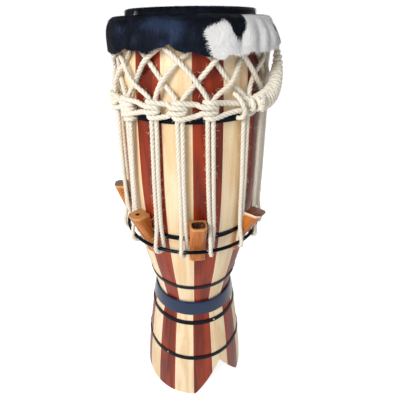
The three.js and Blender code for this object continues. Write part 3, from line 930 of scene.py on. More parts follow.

# %% [markdown]
# No two wedges are alike. The one at the front has a square recess, the next one at its left has a
# knot hole, and others are stained dark or have gone grey. Their tops take the mallet, so the end
# grain there is darker than the sides. The hollows take the same dark colour as painted shade, and
# the pale rim is a painted highlight on the chamfer as well as rubbing. Three marks on the mesh say
# where: end, rim and edge.

# %% Wedge pieces
def wedge_finish(name, end_stain_and_hollow_shade_color, rim_highlight_color):
    """The wedge wood, with the end grain that the mallet and the glue have stained, painted shade in its
    hollows, and a pale rim that is painted highlight as well as rubbing.
    """
    material = wedge_wood.copy()
    material.name = name
    tree = material.node_tree
    shader = tree.nodes["Principled BSDF"]
    plain = Wire(tree, shader.inputs["Base Color"].links[0].from_socket)
    blotch = noise(tree, object_place(tree), 170.0, 4.0, 0.65)
    # The dark end colour is stained end grain on the top and painted shade inside the hollows
    end_stain_and_hollow_shade = mark(tree, "end") * map_range(tree, blotch, 0.2, 0.6, 0.65, 1.0)
    # The pale rim is a painted highlight on the chamfer, broken up by noise as rubbing would be
    wear_and_highlight_mask = mark(tree, "rim") * map_range(tree, blotch, 0.2, 0.4, 0.4, 1.0)
    stained = blend_colors(tree, end_stain_and_hollow_shade, plain, end_stain_and_hollow_shade_color)
    fill(tree, shader, {"Base Color": blend_colors(tree, wear_and_highlight_mask, stained, rim_highlight_color)})
    return material


# Rim colours are a painted highlight on the chamfer: nearly white on the stained wedge, and on the rest
# orange as rubbed wood
pale_rim_highlight, rim_highlight_and_wear = tint(240, 226, 206), tint(226, 160, 92)
wedge_looks = {
    1: (wedge_finish("wedge_recess", tint(54, 28, 22), rim_highlight_and_wear), (28.5, 27.0, 17.0)),
    2: (wedge_finish("wedge_stained", tint(98, 44, 26), pale_rim_highlight), None),
    7: (wedge_finish("wedge_weathered", tint(120, 104, 92), rim_highlight_and_wear), None),
    8: (wedge_finish("wedge_knotty", tint(88, 44, 30), rim_highlight_and_wear), (9.0, 10.0, 14.0)),
}
plain_end = wedge_finish("wedge_plain", tint(150, 88, 52), rim_highlight_and_wear)
print("wedge looks:", plain_end.name, [finish.name for finish, _ in wedge_looks.values()])

# %% [markdown]
# A wedge is lofted, its edges are bevelled, and where it has a hollow that is cut out. Then its
# marks are written: how far a point lies below the top says whether it is end grain, rim or side.

# %% Wedge making
def make_wedge(number):
    azimuth, rise, lean, spread = wedge_places[number]
    finish, hollow = wedge_looks.get(number, (plain_end, None))
    top = wedge_top + rise
    heights = np.linspace(wedge_bottom, top, 15)
    points, faces = loft([[(x, r, z) for x, r in wedge_section(z, lean, spread)] for z in heights])
    wedge = new_piece(f"hardwood_wedge_{number}", out_from_axis(points, azimuth), faces)
    outward_faces(wedge)
    bevel = wedge.modifiers.new("soft edges", "BEVEL")
    bevel.width, bevel.segments = 0.0021, 3
    bevel.limit_method, bevel.angle_limit = "ANGLE", math.radians(20)
    cutter = None
    section = wedge_section(top, lean, spread)
    middle = (section[0][1] + section[2][1]) / 2 + 0.5
    if hollow:
        points, faces = plug(hollow[0], hollow[1], middle, hollow[2])
        cutter = new_piece("plug", out_from_axis(points, azimuth), faces)
        outward_faces(cutter)
        cut = wedge.modifiers.new("hollow", "BOOLEAN")
        cut.operation, cut.solver, cut.object = "DIFFERENCE", "EXACT", cutter
    settle(wedge)
    if cutter:
        bpy.data.objects.remove(cutter)
    shade_smooth(wedge.data)
    sharpen(wedge, 38)
    local = points_of(wedge)
    a = math.radians(azimuth)
    x, y = local[:, 0] - axis_x, local[:, 1]
    across, outward = x * math.cos(a) + y * math.sin(a), x * math.sin(a) - y * math.cos(a)
    board = np.stack([across, outward, local[:, 2]], 1)
    below_top = top * mm - board[:, 2]
    faces_at = [wedge_section(z / mm, lean, spread) for z in board[:, 2]]
    inner_face, outer_face = (np.array([s[k][1] for s in faces_at]) for k in (0, 2))
    end = np.where(below_top < 0.0004, 1.0, 0.0)
    rim = np.where((below_top < 0.0024) & (below_top > 0.0002), 1.0, 0.0)
    # Inside a hollow the end mark is full and the rim mark is cleared, so its dark colour there is painted
    # shade
    if hollow:
        inside = (board[:, 1] / mm > inner_face + 1) & (board[:, 1] / mm < outer_face - 1)
        inside &= np.abs(board[:, 0]) < (wedge_width / 2 - 1) * mm
        in_hollow = inside & (below_top > 0.0008) & (below_top < hollow[2] * mm + 0.0005)
        end = np.where(in_hollow, 1.0, 0.35 * end)
        rim = np.where(in_hollow, 0.0, rim)
    write_attribute(wedge, "end", end)
    write_attribute(wedge, "rim", rim)
    shift = random.uniform((-0.02, -0.1, 0.0), (0.02, 0.0, 3.0))
    board[:, 1] -= outer_face * mm
    write_attribute(wedge, "board", board + shift, "FLOAT_VECTOR")
    write_edges(wedge, 0.35)
    wedge.data.materials.clear()
    wedge.data.materials.append(finish)
    done(wedge, "wedge_wood", f"wedge_{number}")


for number in range(1, 9):
    make_wedge(number)
print("wedges:", [n for n in finished if n[0].startswith("hardwood")])

# %% [markdown]
# ## The rope
# The lacing is laid sisal: three strands twisted round each other, each a bundle of hairy yarns. A
# round tube would look like cable, so the tree below sweeps a three-lobed section along the route
# and turns it once for every lay of the rope. It also leaves two marks on the mesh for the
# material: how deep in a groove each point lies, and where it is among yarns that run nearly
# straight along the rope, as they do in real laid rope.

# %% Laid rope tree
laid_rope, given, out = start_group(
    "laid_rope", "GeometryNodeTree",
    [("Geometry", "NodeSocketGeometry", None), ("Radius", "NodeSocketFloat", 0.0044),
     ("Lay", "NodeSocketFloat", 0.026), ("Rings a lay", "NodeSocketFloat", 8.0),
     ("Groove", "NodeSocketFloat", 0.24), ("Corners", "NodeSocketInt", 15),
     ("Material", "NodeSocketMaterial", None)],
    [("Geometry", "NodeSocketGeometry")],
)


def store(tree, geometry, label, value, **options):
    """Writes an attribute on the points of a geometry."""
    return read(tree, "GeometryNodeStoreNamedAttribute", "Geometry",
                {"Geometry": geometry, "Name": label, "Value": value}, domain="POINT", **options)


def stored(tree, label, kind="FLOAT"):
    return read(tree, "GeometryNodeInputNamedAttribute", "Attribute", {"Name": label}, data_type=kind)


full_turn, strand_count = 2 * math.pi, 3.0
route = read(laid_rope, "GeometryNodeMeshToCurve", "Curve", {"Mesh": given["Geometry"]})
stepped = read(laid_rope, "GeometryNodeResampleCurve", "Curve",
               {"Curve": route, "Length": given["Lay"] / given["Rings a lay"]}, mode="LENGTH")
run = read(laid_rope, "GeometryNodeSplineParameter", "Length")
twist = run / given["Lay"] * full_turn
twisted = read(laid_rope, "GeometryNodeSetCurveTilt", "Curve", {"Curve": stepped, "Tilt": twist})

circle = read(laid_rope, "GeometryNodeCurvePrimitiveCircle", "Curve",
              {"Resolution": given["Corners"], "Radius": 1.0})
round_share = read(laid_rope, "GeometryNodeSplineParameter", "Factor")
lobe = calculate(laid_rope, "PINGPONG", round_share * strand_count, 0.5)
crest = 1.0 - calculate(laid_rope, "POWER", 1.0 - lobe * 2.0, 2.4)
reach_out = given["Radius"] * (1.0 - given["Groove"] * (1.0 - crest))
lobed = read(laid_rope, "GeometryNodeSetPosition", 0, {
    "Geometry": circle, "Position": calculate_vector(
        laid_rope, "MULTIPLY", read(laid_rope, "GeometryNodeInputPosition"),
        combine(laid_rope, reach_out, reach_out, reach_out))})
lobed = store(laid_rope, lobed, "crest", crest)
for label, function in (("round x", "COSINE"), ("round y", "SINE")):
    lobed = store(laid_rope, lobed, label, calculate(laid_rope, function, round_share * full_turn))
swept = read(laid_rope, "GeometryNodeCurveToMesh", "Mesh", {
    "Curve": store(laid_rope, twisted, "run", run), "Profile Curve": lobed, "Fill Caps": True})

turn_back = stored(laid_rope, "run") / given["Lay"] * full_turn
cosine, sine = calculate(laid_rope, "COSINE", turn_back), calculate(laid_rope, "SINE", turn_back)
x, y = stored(laid_rope, "round x"), stored(laid_rope, "round y")
yarn = combine(laid_rope, x * cosine - y * sine, x * sine + y * cosine, stored(laid_rope, "run") * 100.0)
spun = store(laid_rope, swept, "yarn", yarn, data_type="FLOAT_VECTOR")
end_tree(laid_rope, out, spun, given["Material"])
print("laid_rope nodes:", len(laid_rope.nodes))

# %% [markdown]
# Sisal is nearly white where the light falls on a strand and brown where two strands meet: dirt
# gathers in the groove, and the shade there is painted in as well. The colour follows the yarns, and
# the groove's dirt and painted shade come in as the crest mark falls. A little sheen stands for the
# down of loose fibre.

# %% Rope material
def rope_material(name, pale, warm, groove_dirt_and_shade):
    material, tree, shader = start_material(name)
    yarn = mark(tree, "yarn", "Vector")
    fibres = noise(tree, yarn, (9, 9, 0.9), 4.0, 0.7)
    hairs = noise(tree, yarn, (26, 26, 2.2), 2.0, 0.6)
    patches = noise(tree, object_place(tree), 22.0, 3.0, 0.5)
    color = blend_colors(tree, map_range(tree, fibres, 0.3, 0.72), warm, pale)
    color = blend_colors(tree, map_range(tree, patches, 0.42, 0.8, 0.0, 0.55), color, warm)
    # Painted shade in the grooves, with dirt: the groove colour comes in where the crest mark is low
    groove_dirt_and_shade_share = map_range(tree, mark(tree, "crest"), 0.0, 0.55, 1.0, 0.0) * 0.55
    fill(tree, shader, {
        "Base Color": blend_colors(tree, groove_dirt_and_shade_share, color, groove_dirt_and_shade),
        "Roughness": map_range(tree, fibres, 0.2, 0.8, 0.72, 0.92),
        "Sheen Weight": 0.25, "Sheen Roughness": 0.5, "Specular IOR Level": 0.25,
    })
    bump(tree, shader, fibres + hairs * 0.6, 0.0005)
    return material


# The third colour is the groove's: dirt with painted shade
sisal = rope_material("sisal", tint(255, 253, 246), tint(250, 241, 220), tint(184, 154, 108))
print("rope material:", sisal.name)

# %% [markdown]
# The lacing drops from under the skirt in a slanting net, gathers in pairs under the belt, runs
# straight down and hooks round the steel ring. Its route is said in azimuth, radius and height, and
# a curve through those points gives the soft waves of a rope that passes over and under others.

# %% Lacing route
rope_half = 4.7
pair_count, pair_azimuth, pair_step = 16, -7.5, 22.5
strand_radius, belt_height = 163.5, 852.0
net_bottom, net_top, belt_foot = 866.0, 974.5, 836.0
belt_pull = 3.5
# The lacing is spaced as listed: degrees that a pair is off its even place, at the belt and at the ring
belt_sway = {13: 4, 14: 4.5, 15: 5, 1: -3, 2: 1.5, 6: 2, 9: -2}
ring_sway = {15: 3.5, 0: 0.7, 1: -0.7, 2: 3, 7: 1.5, 10: -1}
print("a pair every", pair_step, "degrees,", pair_count, "pairs")

# %% [markdown]
# A rope under tension runs in soft curves through the points that hold it. The curve below passes
# through every point without overshooting, because its steps grow with the distance between them.

# %% Route helpers
def smooth_route(points, closed=False, spacing=2.5):
    """A curve through the points, as vectors in metres with about the given spacing in millimetres."""
    knots = [np.array(p, float) for p in points]
    if closed:
        ends = [knots[-1], *knots, knots[0], knots[1]]
    else:
        ends = [2 * knots[0] - knots[1], *knots, 2 * knots[-1] - knots[-2]]
    path = []
    for p0, p1, p2, p3 in zip(ends, ends[1:], ends[2:], ends[3:]):
        steps = max(2, round(np.linalg.norm(p2 - p1) / (spacing * mm)))
        t0 = 0.0
        t1 = t0 + max(np.linalg.norm(p1 - p0), 1e-6) ** 0.5
        t2 = t1 + max(np.linalg.norm(p2 - p1), 1e-6) ** 0.5
        t3 = t2 + max(np.linalg.norm(p3 - p2), 1e-6) ** 0.5
        for t in np.linspace(t1, t2, steps, endpoint=False):
            a1 = (t1 - t) / (t1 - t0) * p0 + (t - t0) / (t1 - t0) * p1
            a2 = (t2 - t) / (t2 - t1) * p1 + (t - t1) / (t2 - t1) * p2
            a3 = (t3 - t) / (t3 - t2) * p2 + (t - t2) / (t3 - t2) * p3
            b1 = (t2 - t) / (t2 - t0) * a1 + (t - t0) / (t2 - t0) * a2
            b2 = (t3 - t) / (t3 - t1) * a2 + (t - t1) / (t3 - t1) * a3
            path.append((t2 - t) / (t2 - t1) * b1 + (t - t1) / (t2 - t1) * b2)
    return path if closed else [*path, knots[-1]]


def route_length(path, closed=False):
    ends = [*path, path[0]] if closed else path
    return float(sum(np.linalg.norm(np.array(b) - np.array(a)) for a, b in zip(ends, ends[1:])))


def path_piece(name, paths, closed=False):
    """One mesh of bare edges that holds every route."""
    points, edges = [], []
    for path in paths:
        start = len(points)
        points += [tuple(p) for p in path]
        edges += [(start + k, start + k + 1) for k in range(len(path) - 1)]
        if closed:
            edges.append((len(points) - 1, start))
    mesh = bpy.data.meshes.new(name)
    mesh.from_pydata(points, edges, [])
    return put(name, mesh)


print("route helpers are ready")

# %% [markdown]
# One fall of the lacing is a strand down and a strand up. In the net each strand crosses its
# neighbours, now over them and now under, and at the ring it passes round the rod and back.

# %% Falls of the lacing
def net_half(azimuth, side, is_over):
    """From the belt up to the flesh hoop: at each crossing the strand is the inner or the outer one."""
    rows = []
    for steps, share in ((0.5, 0.245), (1, 0.56), (1.5, 0.79), (2, 1)):
        z = net_bottom + share * (net_top - net_bottom)
        inner = shell_radius(z) + rope_half + 0.4
        outer = inner + 2 * rope_half - 0.4
        is_top = steps == 2 or is_over(2 * steps)
        rows.append(around(azimuth + side * steps * pair_step, outer if is_top else inner, z))
    return rows


def lacing_route(pair):
    azimuth = pair_azimuth + pair * pair_step
    apart = math.degrees(rope_half / strand_radius)
    sway = random.uniform(-0.25, 0.25, 6)
    at_belt, at_ring = azimuth + belt_sway.get(pair, 0), azimuth + ring_sway.get(pair, 0)

    def standing(side, offset):
        levels = ((at_belt, belt_pull, net_bottom - 3), (at_belt, belt_pull, belt_foot - 2),
                  ((at_belt + at_ring) / 2, 0.5, 690))
        return [around(a + side * apart + sway[offset + k] * k, strand_radius - inwards, z)
                for k, (a, inwards, z) in enumerate(levels)]

    down = net_half(azimuth, -1, lambda crossing: pair % 2 == 1)[::-1] + standing(-1, 0)
    up = net_half(azimuth, 1, lambda crossing: (pair + crossing) % 2 == 0)[::-1] + standing(1, 3)
    hook_radius = rope_half + ring_half + 0.4
    hook = [around(at_ring + apart * (2 * k / 4 - 1),
                   ring_radius + hook_radius * math.cos(k * math.pi / 4),
                   ring_height - hook_radius * math.sin(k * math.pi / 4)) for k in range(5)]
    near = [around(at_ring - apart, strand_radius + 1.5, ring_height + 52),
            around(at_ring - apart, ring_radius + hook_radius * 0.86, ring_height + 14)]
    far = [around(at_ring + apart, ring_radius - hook_radius * 0.9, ring_height + 14),
           around(at_ring + apart, strand_radius - 2.5, ring_height + 52)]
    return smooth_route([*down, *near, *hook, *far, *up[::-1]])


lacing = [lacing_route(pair) for pair in range(pair_count)]
print("lacing:", round(sum(route_length(p) for p in lacing), 2), "m of rope in", len(lacing), "falls")

# %% [markdown]
# All falls of the lacing are laid at once, as one piece: it is one long rope on the real drum, and
# where it turns round the flesh hoop the skirt hides it.

# %% Laid lacing
def lay_rope(name, node, paths, closed=False, lay=0.026, radius=rope_half,
             corners=15, rings=8.0, groove=0.2):
    """A laid rope along the paths. A closed rope takes a whole number of strands in its length."""
    if closed:
        length = route_length(paths[0], True)
        lay = length / (round(length / lay * 3) / 3)
    piece = grow(path_piece(name, paths, closed), laid_rope, {
        "Radius": radius * mm, "Lay": lay, "Rings a lay": rings, "Groove": groove, "Corners": corners,
        "Material": sisal})
    shade_smooth(piece.data)
    if node:
        done(piece, "sisal_rope", node)
    return piece


lay_rope("laced_rope", "lacing_rope", lacing)
print("lacing faces:", finished[-1])

# %% [markdown]
# Two ropes run round the drum as a belt. Each is hitched round every pair of strands in turn and
# pulls the two together, which tightens the head a little more. A short coil at the left stands for
# the knot that ends them, and a short tie at the right holds the handle's foot.

# %% Belts
# The belt ropes wrap once round every pair. One comes in above and leaves below, the other the
# reverse: each point is degrees past the pair, millimetres out from the strands, and height over
# the belt's middle
outside = 2 * rope_half - 1.6
goes_down = [(-5.6, 6, 3), (-1, outside + 1, 2), (3.7, 3, 0), (1.6, -outside, -6), (-3.7, -1, -14),
             (-0.4, outside, -17), (5.2, 5, -15.5), (11, 2, -12)]
goes_up = [(-5.6, 5, -8), (-1, outside, -8), (3.7, 3, -6), (1.6, -outside, 3), (-3.7, -1, 9),
           (-0.4, outside + 1, 10.5), (5.2, 5, 8.5), (11, 2, 6.5)]


def belt_route(first):
    points = []
    for pair in range(pair_count):
        azimuth = pair_azimuth + pair * pair_step + belt_sway.get(pair, 0)
        wrap = goes_down if pair % 2 == first else goes_up
        points += [around(azimuth + turn, strand_radius - belt_pull + out, belt_height + rise)
                   for turn, out, rise in wrap]
    return smooth_route(points, True)


belt_half = 5.1
lay_rope("belt_front", "belt_rope_front", [belt_route(0)], True, radius=belt_half)
lay_rope("belt_back", "belt_rope_back", [belt_route(1)], True, radius=belt_half)


def ellipse_coil(azimuth, radius, foot, top, reach_out, reach_aside, turns):
    """A coil that climbs round an upright pair of strands, as vectors in metres."""
    route = []
    for share in np.linspace(0, 1, 16 * turns):
        a = 2 * math.pi * turns * share
        route.append(around(azimuth + math.degrees(reach_aside / radius) * math.sin(a),
                            radius + reach_out * math.cos(a), foot + (top - foot) * share))
    return smooth_route(route)


knot = ellipse_coil(-48, 158.5, 824, 858, 10.5, 14.0, 4)
tie = smooth_route([around(a, r, z) for a, r, z in (
    (27.6, 161, 873), (28.6, 170, 869), (30.6, 176.5, 857), (32.6, 176, 843), (32.6, 170, 832),
    (31.4, 160, 830))])
lay_rope("belt_knot", "belt_rope_back", [knot, tie])
print("rope faces:", finished[-4:])

# %% [markdown]
# Sisal sheds fibres: at every few millimetres one has sprung out of the lay and curls away. They are
# scattered over the finished rope as thin bent blades, so the rope's outline isn't that of a tube.

# %% Stray fibres
def fibre_blade(length, width):
    """A thin blade that rises from the rope along +Z and curls over towards +X."""
    rows = [(0.0, 0.0), (0.25, 0.5), (0.7, 0.8), (1.0, 0.7)]
    points = [(x * length, side * width / 2, z * length) for x, z in rows[:3] for side in (-1, 1)]
    points.append((rows[3][0] * length, 0, rows[3][1] * length))
    return new_piece("fibre_blade", points, [(0, 2, 3, 1), (2, 4, 5, 3), (4, 6, 5)])


def random_between(tree, low, high, seed):
    return read(tree, "FunctionNodeRandomValue", 1, {2: low, 3: high, "Seed": seed}, data_type="FLOAT")


def turned(tree, rotation, x, y, z):
    """The rotation, followed by turns about its own three axes."""
    turn = read(tree, "FunctionNodeEulerToRotation", "Rotation", {"Euler": combine(tree, x, y, z)})
    return read(tree, "FunctionNodeRotateRotation", "Rotation",
                {"Rotation": rotation, "Rotate By": turn}, rotation_space="LOCAL")


def plant(tree, scattered, blade, rotation, size):
    """One blade on every scattered point."""
    shape = read(tree, "GeometryNodeObjectInfo", "Geometry", {"Object": blade, "As Instance": True})
    return read(tree, "GeometryNodeInstanceOnPoints", "Instances", {
        "Points": Wire(tree, scattered.outputs["Points"]), "Instance": shape, "Rotation": rotation,
        "Scale": combine(tree, size, size, size)})


print("fibre helpers are ready")

# %% [markdown]
# The tree scatters points over the rope. At each it turns a blade its own way and gives it its own
# size.

# %% Fibre tree
shed_fibres, given, out = start_group(
    "shed_fibres", "GeometryNodeTree",
    [("Geometry", "NodeSocketGeometry", None), ("Blade", "NodeSocketObject", None),
     ("Density", "NodeSocketFloat", 9000.0), ("Seed", "NodeSocketInt", 3),
     ("Material", "NodeSocketMaterial", None)],
    [("Geometry", "NodeSocketGeometry")],
)
scattered = add_node(shed_fibres, "GeometryNodeDistributePointsOnFaces", {
    "Mesh": given["Geometry"], "Density": given["Density"], "Seed": given["Seed"]})
spun_round = turned(
    shed_fibres, Wire(shed_fibres, scattered.outputs["Rotation"]),
    random_between(shed_fibres, -0.5, 0.5, 21), random_between(shed_fibres, 0.1, 1.1, 22),
    random_between(shed_fibres, 0.0, full_turn, 23))
sprung = plant(shed_fibres, scattered, given["Blade"], spun_round,
               random_between(shed_fibres, 0.35, 1.3, 24))
end_tree(shed_fibres, out, sprung, given["Material"])
print("shed_fibres nodes:", len(shed_fibres.nodes))

# %% [markdown]
# Fibres spring out wherever hands and wood rub the rope. Under the skirt nobody sees them, so none
# are grown there.

# %% Fraying
def fray(rope, name, density, seed, *nodes):
    """A piece of stray fibres over a finished rope, where the skirt leaves it bare."""
    blade = fibre_blade(0.0075, 0.00024)
    fibres = put(name, rope.data.copy())
    bare = bmesh.new()
    bare.from_mesh(fibres.data)
    hidden = [face for face in bare.faces if face.calc_center_median().z > skirt_foot * mm]
    bmesh.ops.delete(bare, geom=hidden, context="FACES")
    bare.to_mesh(fibres.data)
    bare.free()
    grow(fibres, shed_fibres, {"Blade": blade, "Density": density, "Seed": seed, "Material": sisal})
    bpy.data.objects.remove(blade)
    return done(fibres, "sisal_rope", *nodes)


skirt_foot, fibres_a_square_metre = 915, (26000.0, 30000.0)
strays = [
    fray(bpy.data.objects["laced_rope"], "lacing_strays", fibres_a_square_metre[0], 3, "lacing_rope"),
    fray(bpy.data.objects["belt_front"], "belt_strays", fibres_a_square_metre[1], 4, "belt_rope_front")]
print("stray fibres:", sum(len(piece.data.polygons) for piece in strays) // 3)

# %% [markdown]
# ## The handle
# The long end of the rope makes a handle at the right: it is bent into a hook and then wound with
# about eighteen tight turns. The winding follows the hook as a coil spring would, so its route is
# worked out from the hook's own route and then swept with the same laid rope.

# %% Handle route
handle_points = [
    (78, 170, 940, 0.38), (76, 174.5, 918, 0.62), (75, 175, 905, 0.75), (69.5, 175.5, 893, 0.87),
    (65, 176.3, 880.5, 0.98), (59, 177.5, 868, 1.06), (51, 178.5, 859, 1.14), (43.5, 179.3, 856.5, 1.2),
    (38, 178, 855, 1.08), (35.4, 175, 854.5, 0.8)]
handle_half = 15.0
hook_line = smooth_route([around(a, r, z) for a, r, z, _ in handle_points], spacing=1.0)


def wound(line, shares, half, pitch):
    """A coil round a line: its centre stays one rope's radius inside the handle's own thickness."""
    line = np.array(line)
    ahead = np.gradient(line, axis=0)
    ahead /= np.linalg.norm(ahead, axis=1)[:, None]
    run = np.concatenate([[0], np.cumsum(np.linalg.norm(np.diff(line, axis=0), axis=1))])
    outward = line - np.array([axis_x, 0, 0])
    outward[:, 2] = 0
    outward -= (outward * ahead).sum(1)[:, None] * ahead
    outward /= np.linalg.norm(outward, axis=1)[:, None]
    aside = np.cross(ahead, outward)
    thickness = np.interp(run, np.linspace(0, run[-1], len(shares)), shares) * half
    coil_radius = (thickness - rope_half * 0.9) * mm
    fine_run = np.arange(0, run[-1], pitch * mm / 22)
    angle = fine_run / (pitch * mm) * 2 * math.pi

    def at(values):
        return np.stack([np.interp(fine_run, run, values[:, k]) for k in range(3)], 1)

    r = np.interp(fine_run, run, coil_radius)[:, None]
    cosine, sine = np.cos(angle)[:, None], np.sin(angle)[:, None]
    return list(at(line) + r * (cosine * at(outward) + sine * at(aside)))


winding = wound(hook_line, [share for *_, share in handle_points], handle_half, 9.4)
handle = lay_rope("wound_handle", None, [winding], lay=0.04, rings=12.0, corners=12, groove=0.09)
core_line = smooth_route([around(a, r, z) for a, r, z, _ in handle_points], spacing=4.0)
core = lay_rope("handle_core", None, [core_line], radius=5.4)
for piece in (handle, core):
    done(piece, "sisal_rope", "rope_handle")
cut_ends = [smooth_route([around(a, r, z) for a, r, z in end]) for end in (
    ((43, 186, 868), (40.2, 196, 866), (37.6, 200, 862)),
    ((42, 190, 856), (39.2, 199, 853), (37.0, 201, 849)))]
done(lay_rope("handle_ends", None, cut_ends), "sisal_rope", "rope_handle")
print("handle winding:", round(route_length(winding), 2), "m")

# %% [markdown]
# ## The cowhide
# The head is one soaked hide: flat over the shell's edge, folded out over the flesh hoop and left
# hanging as a skirt, where it dried in soft folds. Its shape follows a rule, height and azimuth in,
# radius out, so it is made as a fine grid from that rule. Cloth simulation was left aside because a
# dried hide keeps its folds, and the photograph shows where each of them is.

# %% Hide shape
hide_thickness, fold_height, skirt_fall = 3.1, 992.9, 51.5
skirt_edge = [
    (-100, -1), (-78, -3), (-55, -7.5), (-43.5, 2.4), (-26, -1.4), (-11, 11.4), (-8, 1), (1, -1.2),
    (18.5, -13.2), (21.5, -4.5), (28.5, -8.2), (37, -2.7), (51.5, -4), (63, 0), (78, 8),
    (110, -4), (145, 1), (180, -9), (215, 0), (260, -1)]
# Each fold: its azimuth, its half width in degrees and how far it stands out in millimetres
skirt_folds = [
    (-19, 6, -5), (-9, 4.5, 6), (-29, 5, 5), (-42, 5, -4), (-53, 5, 3), (-62, 7, 2), (12, 5, -2),
    (22, 5, 2), (30.5, 2.6, -3), (37, 4, 2.5), (43.5, 2.8, -3.5), (48.5, 3.5, 2.5), (53.5, 2.6, -3),
    (59, 4, 2.5), (67, 4, -2),
    (120, 12, 3), (150, 10, -2), (185, 14, 3), (222, 12, -2)]


def between(a, b):
    """How far azimuth a is past b, from -180 to 180 degrees."""
    return (np.asarray(a, float) - b + 180) % 360 - 180


def skirt_radius(azimuth, height):
    to_right = np.exp(-((between(azimuth, 80) / 42) ** 2))
    flare = 164.2 + 13.8 * to_right
    fall = np.clip((fold_height - height) / skirt_fall, 0, 1)
    sweep = 1 - (1 - fall) ** (4 - 2.5 * to_right)
    folds = sum(out * np.exp(-((between(azimuth, at) / width) ** 2)) for at, width, out in skirt_folds)
    return 150 + (flare - 150) * sweep + folds * np.sin(0.85 * math.pi * fall)


def edge_height(azimuth):
    """The cut edge: a smooth line through the points, roughened as a knife leaves a hairy hide."""
    fine = np.arange(-100, 260, 0.25)
    at, rise = zip(*skirt_edge)
    line = np.interp(fine, at, rise, period=360)
    spread = np.exp(-(np.linspace(-3, 3, 13) ** 2))
    line = np.convolve(np.concatenate([line[-6:], line, line[:6]]), spread / spread.sum(), "valid")
    for waves, height, start in ((31, 0.7, 0.4), (57, 0.5, 2.1), (113, 0.35, 4.0), (171, 0.25, 1.3)):
        line = line + height * np.sin(np.radians(fine * waves) + start)
    wrapped = (np.asarray(azimuth, float) + 100) % 360 - 100
    return fold_height - skirt_fall + np.interp(wrapped, fine, line, period=360)


print("skirt at the front:", round(float(skirt_radius(0, 950)), 1), "mm from the axis")

# %% [markdown]
# The rows of the grid lie closest together where the hide bends most: at the rim, in the fold and
# down the skirt. Each is a radius and a height, and the skirt's rows also follow the folds.

# %% Hide rows
head_rows = [(r, 1004.9) for r in (8, 20, 34, 48, 62, 76, 90, 100, 107, 112, 116, 118.6)]
rim_rows = [(120.4, 1004.6), (121.8, 1003.8), (122.9, 1002.4), (123.6, 1000.4), (124.2, 998), (125, 995.8),
            (126.6, 994), (129.8, 993.2), (134.5, 992.9), (139, 993), (143.5, 993.1), (147, 992.7),
            (149.3, 991.5)]
columns = 420
azimuths = np.arange(columns) * 360 / columns
skirt_rows = 40
skirt_start = fold_height - 3.4


def hide_rows():
    """Radius and height of every row of the outer face, from the middle of the head to the skirt's edge."""
    rows = [(np.full(columns, r), np.full(columns, z)) for r, z in head_rows + rim_rows]
    foot = edge_height(azimuths)
    for share in np.linspace(0, 1, skirt_rows):
        height = skirt_start + (foot - skirt_start) * share
        rows.append((skirt_radius(azimuths, height), height))
    return rows


outer_rows = hide_rows()
print("hide rows:", len(outer_rows), "columns:", columns)

# %% [markdown]
# The grid is laid out in rows down from the middle of the head and columns round the drum. A second
# layer lies under it, set in along the normals, and the two join at the cut edge, so the hide has a
# true thickness there. The same arrays say later which way the hair lies.

# %% Hide mesh
def hide_grid():
    radius = np.array([r for r, _ in outer_rows])
    height = np.array([z for _, z in outer_rows])
    a = np.radians(azimuths)[None, :]
    outer = np.stack([axis_x + radius * mm * np.sin(a), -radius * mm * np.cos(a), height * mm], 2)
    tangent_down = np.gradient(outer, axis=0)
    tangent_round = np.roll(outer, -1, 1) - np.roll(outer, 1, 1)
    normal = np.cross(tangent_down, tangent_round)
    normal /= np.linalg.norm(normal, axis=2)[:, :, None]
    return outer, normal, tangent_down / np.linalg.norm(tangent_down, axis=2)[:, :, None]


outer, hide_normal, hide_down = hide_grid()
print("normals point outward:", bool(hide_normal[5, 0, 2] > 0), hide_normal[-5, 0].round(2))
head_height, skin_share = 1004.9, 0.92
inner = outer - hide_normal * hide_thickness * skin_share * mm
rows = len(outer_rows)
points = [Vector(p) for p in outer.reshape(-1, 3)] + [Vector(p) for p in inner[::-1].reshape(-1, 3)]
top_centre, under_centre = len(points), len(points) + 1
points += [Vector((axis_x, 0, head_height * mm)),
           Vector((axis_x, 0, (head_height - hide_thickness * skin_share) * mm))]
faces = []
for row in range(2 * rows - 1):
    for k in range(columns):
        n = (k + 1) % columns
        faces.append((row * columns + k, (row + 1) * columns + k, (row + 1) * columns + n, row * columns + n))
for k in range(columns):
    n = (k + 1) % columns
    faces.append((top_centre, k, n))
    faces.append((under_centre, (2 * rows - 1) * columns + n, (2 * rows - 1) * columns + k))
hide = new_piece("cowhide", points, faces)
outward_faces(hide)
print("hide faces:", len(faces))

# %% [markdown]
# The patches of a cow's coat grow, they aren't painted, so their borders are soft and ragged. The
# mesh carries how many millimetres inside a patch each point is, and the material breaks that
# distance up with noise; one small white spot on the rim, a painted highlight, is laid in the same
# way. Other marks say where hair grows, which way it lies, and where a navy sheen is painted on the
# black coat as a painted highlight.

# %% Hide marks
# Where the white patches lie, one small white spot on the rim that is a painted highlight, and one
# dark spot in the patches: azimuth in degrees and height in millimetres, with the fold laid out
# flat above it
white_patch = [
    (20, 986.5), (17.4, 985), (10.7, 974.7), (8.5, 968.6), (10.3, 954.7), (12.1, 940.4), (13.3, 926),
    (60, 920), (118, 922), (111, 945), (114, 966), (104, 985), (92, 1000), (60, 1002.5), (34.1, 998.5),
    (34.4, 981.5), (31.9, 970.6), (29.3, 960.7), (26.5, 962), (23.7, 971), (22.3, 982)]
back_patch = [(196, 1004), (182, 985), (190, 962), (206, 950), (222, 962), (228, 985), (214, 1002)]
rim_highlight_spot = [(-52, 1023.3), (-50.4, 1025.4), (-47.5, 1024.8), (-47, 1022.8), (-50, 1022)]
dark_spot = [(67, 976), (68.5, 971.5), (71, 970.5), (73, 976), (71, 981), (68.5, 980)]
scale_round = 2.88


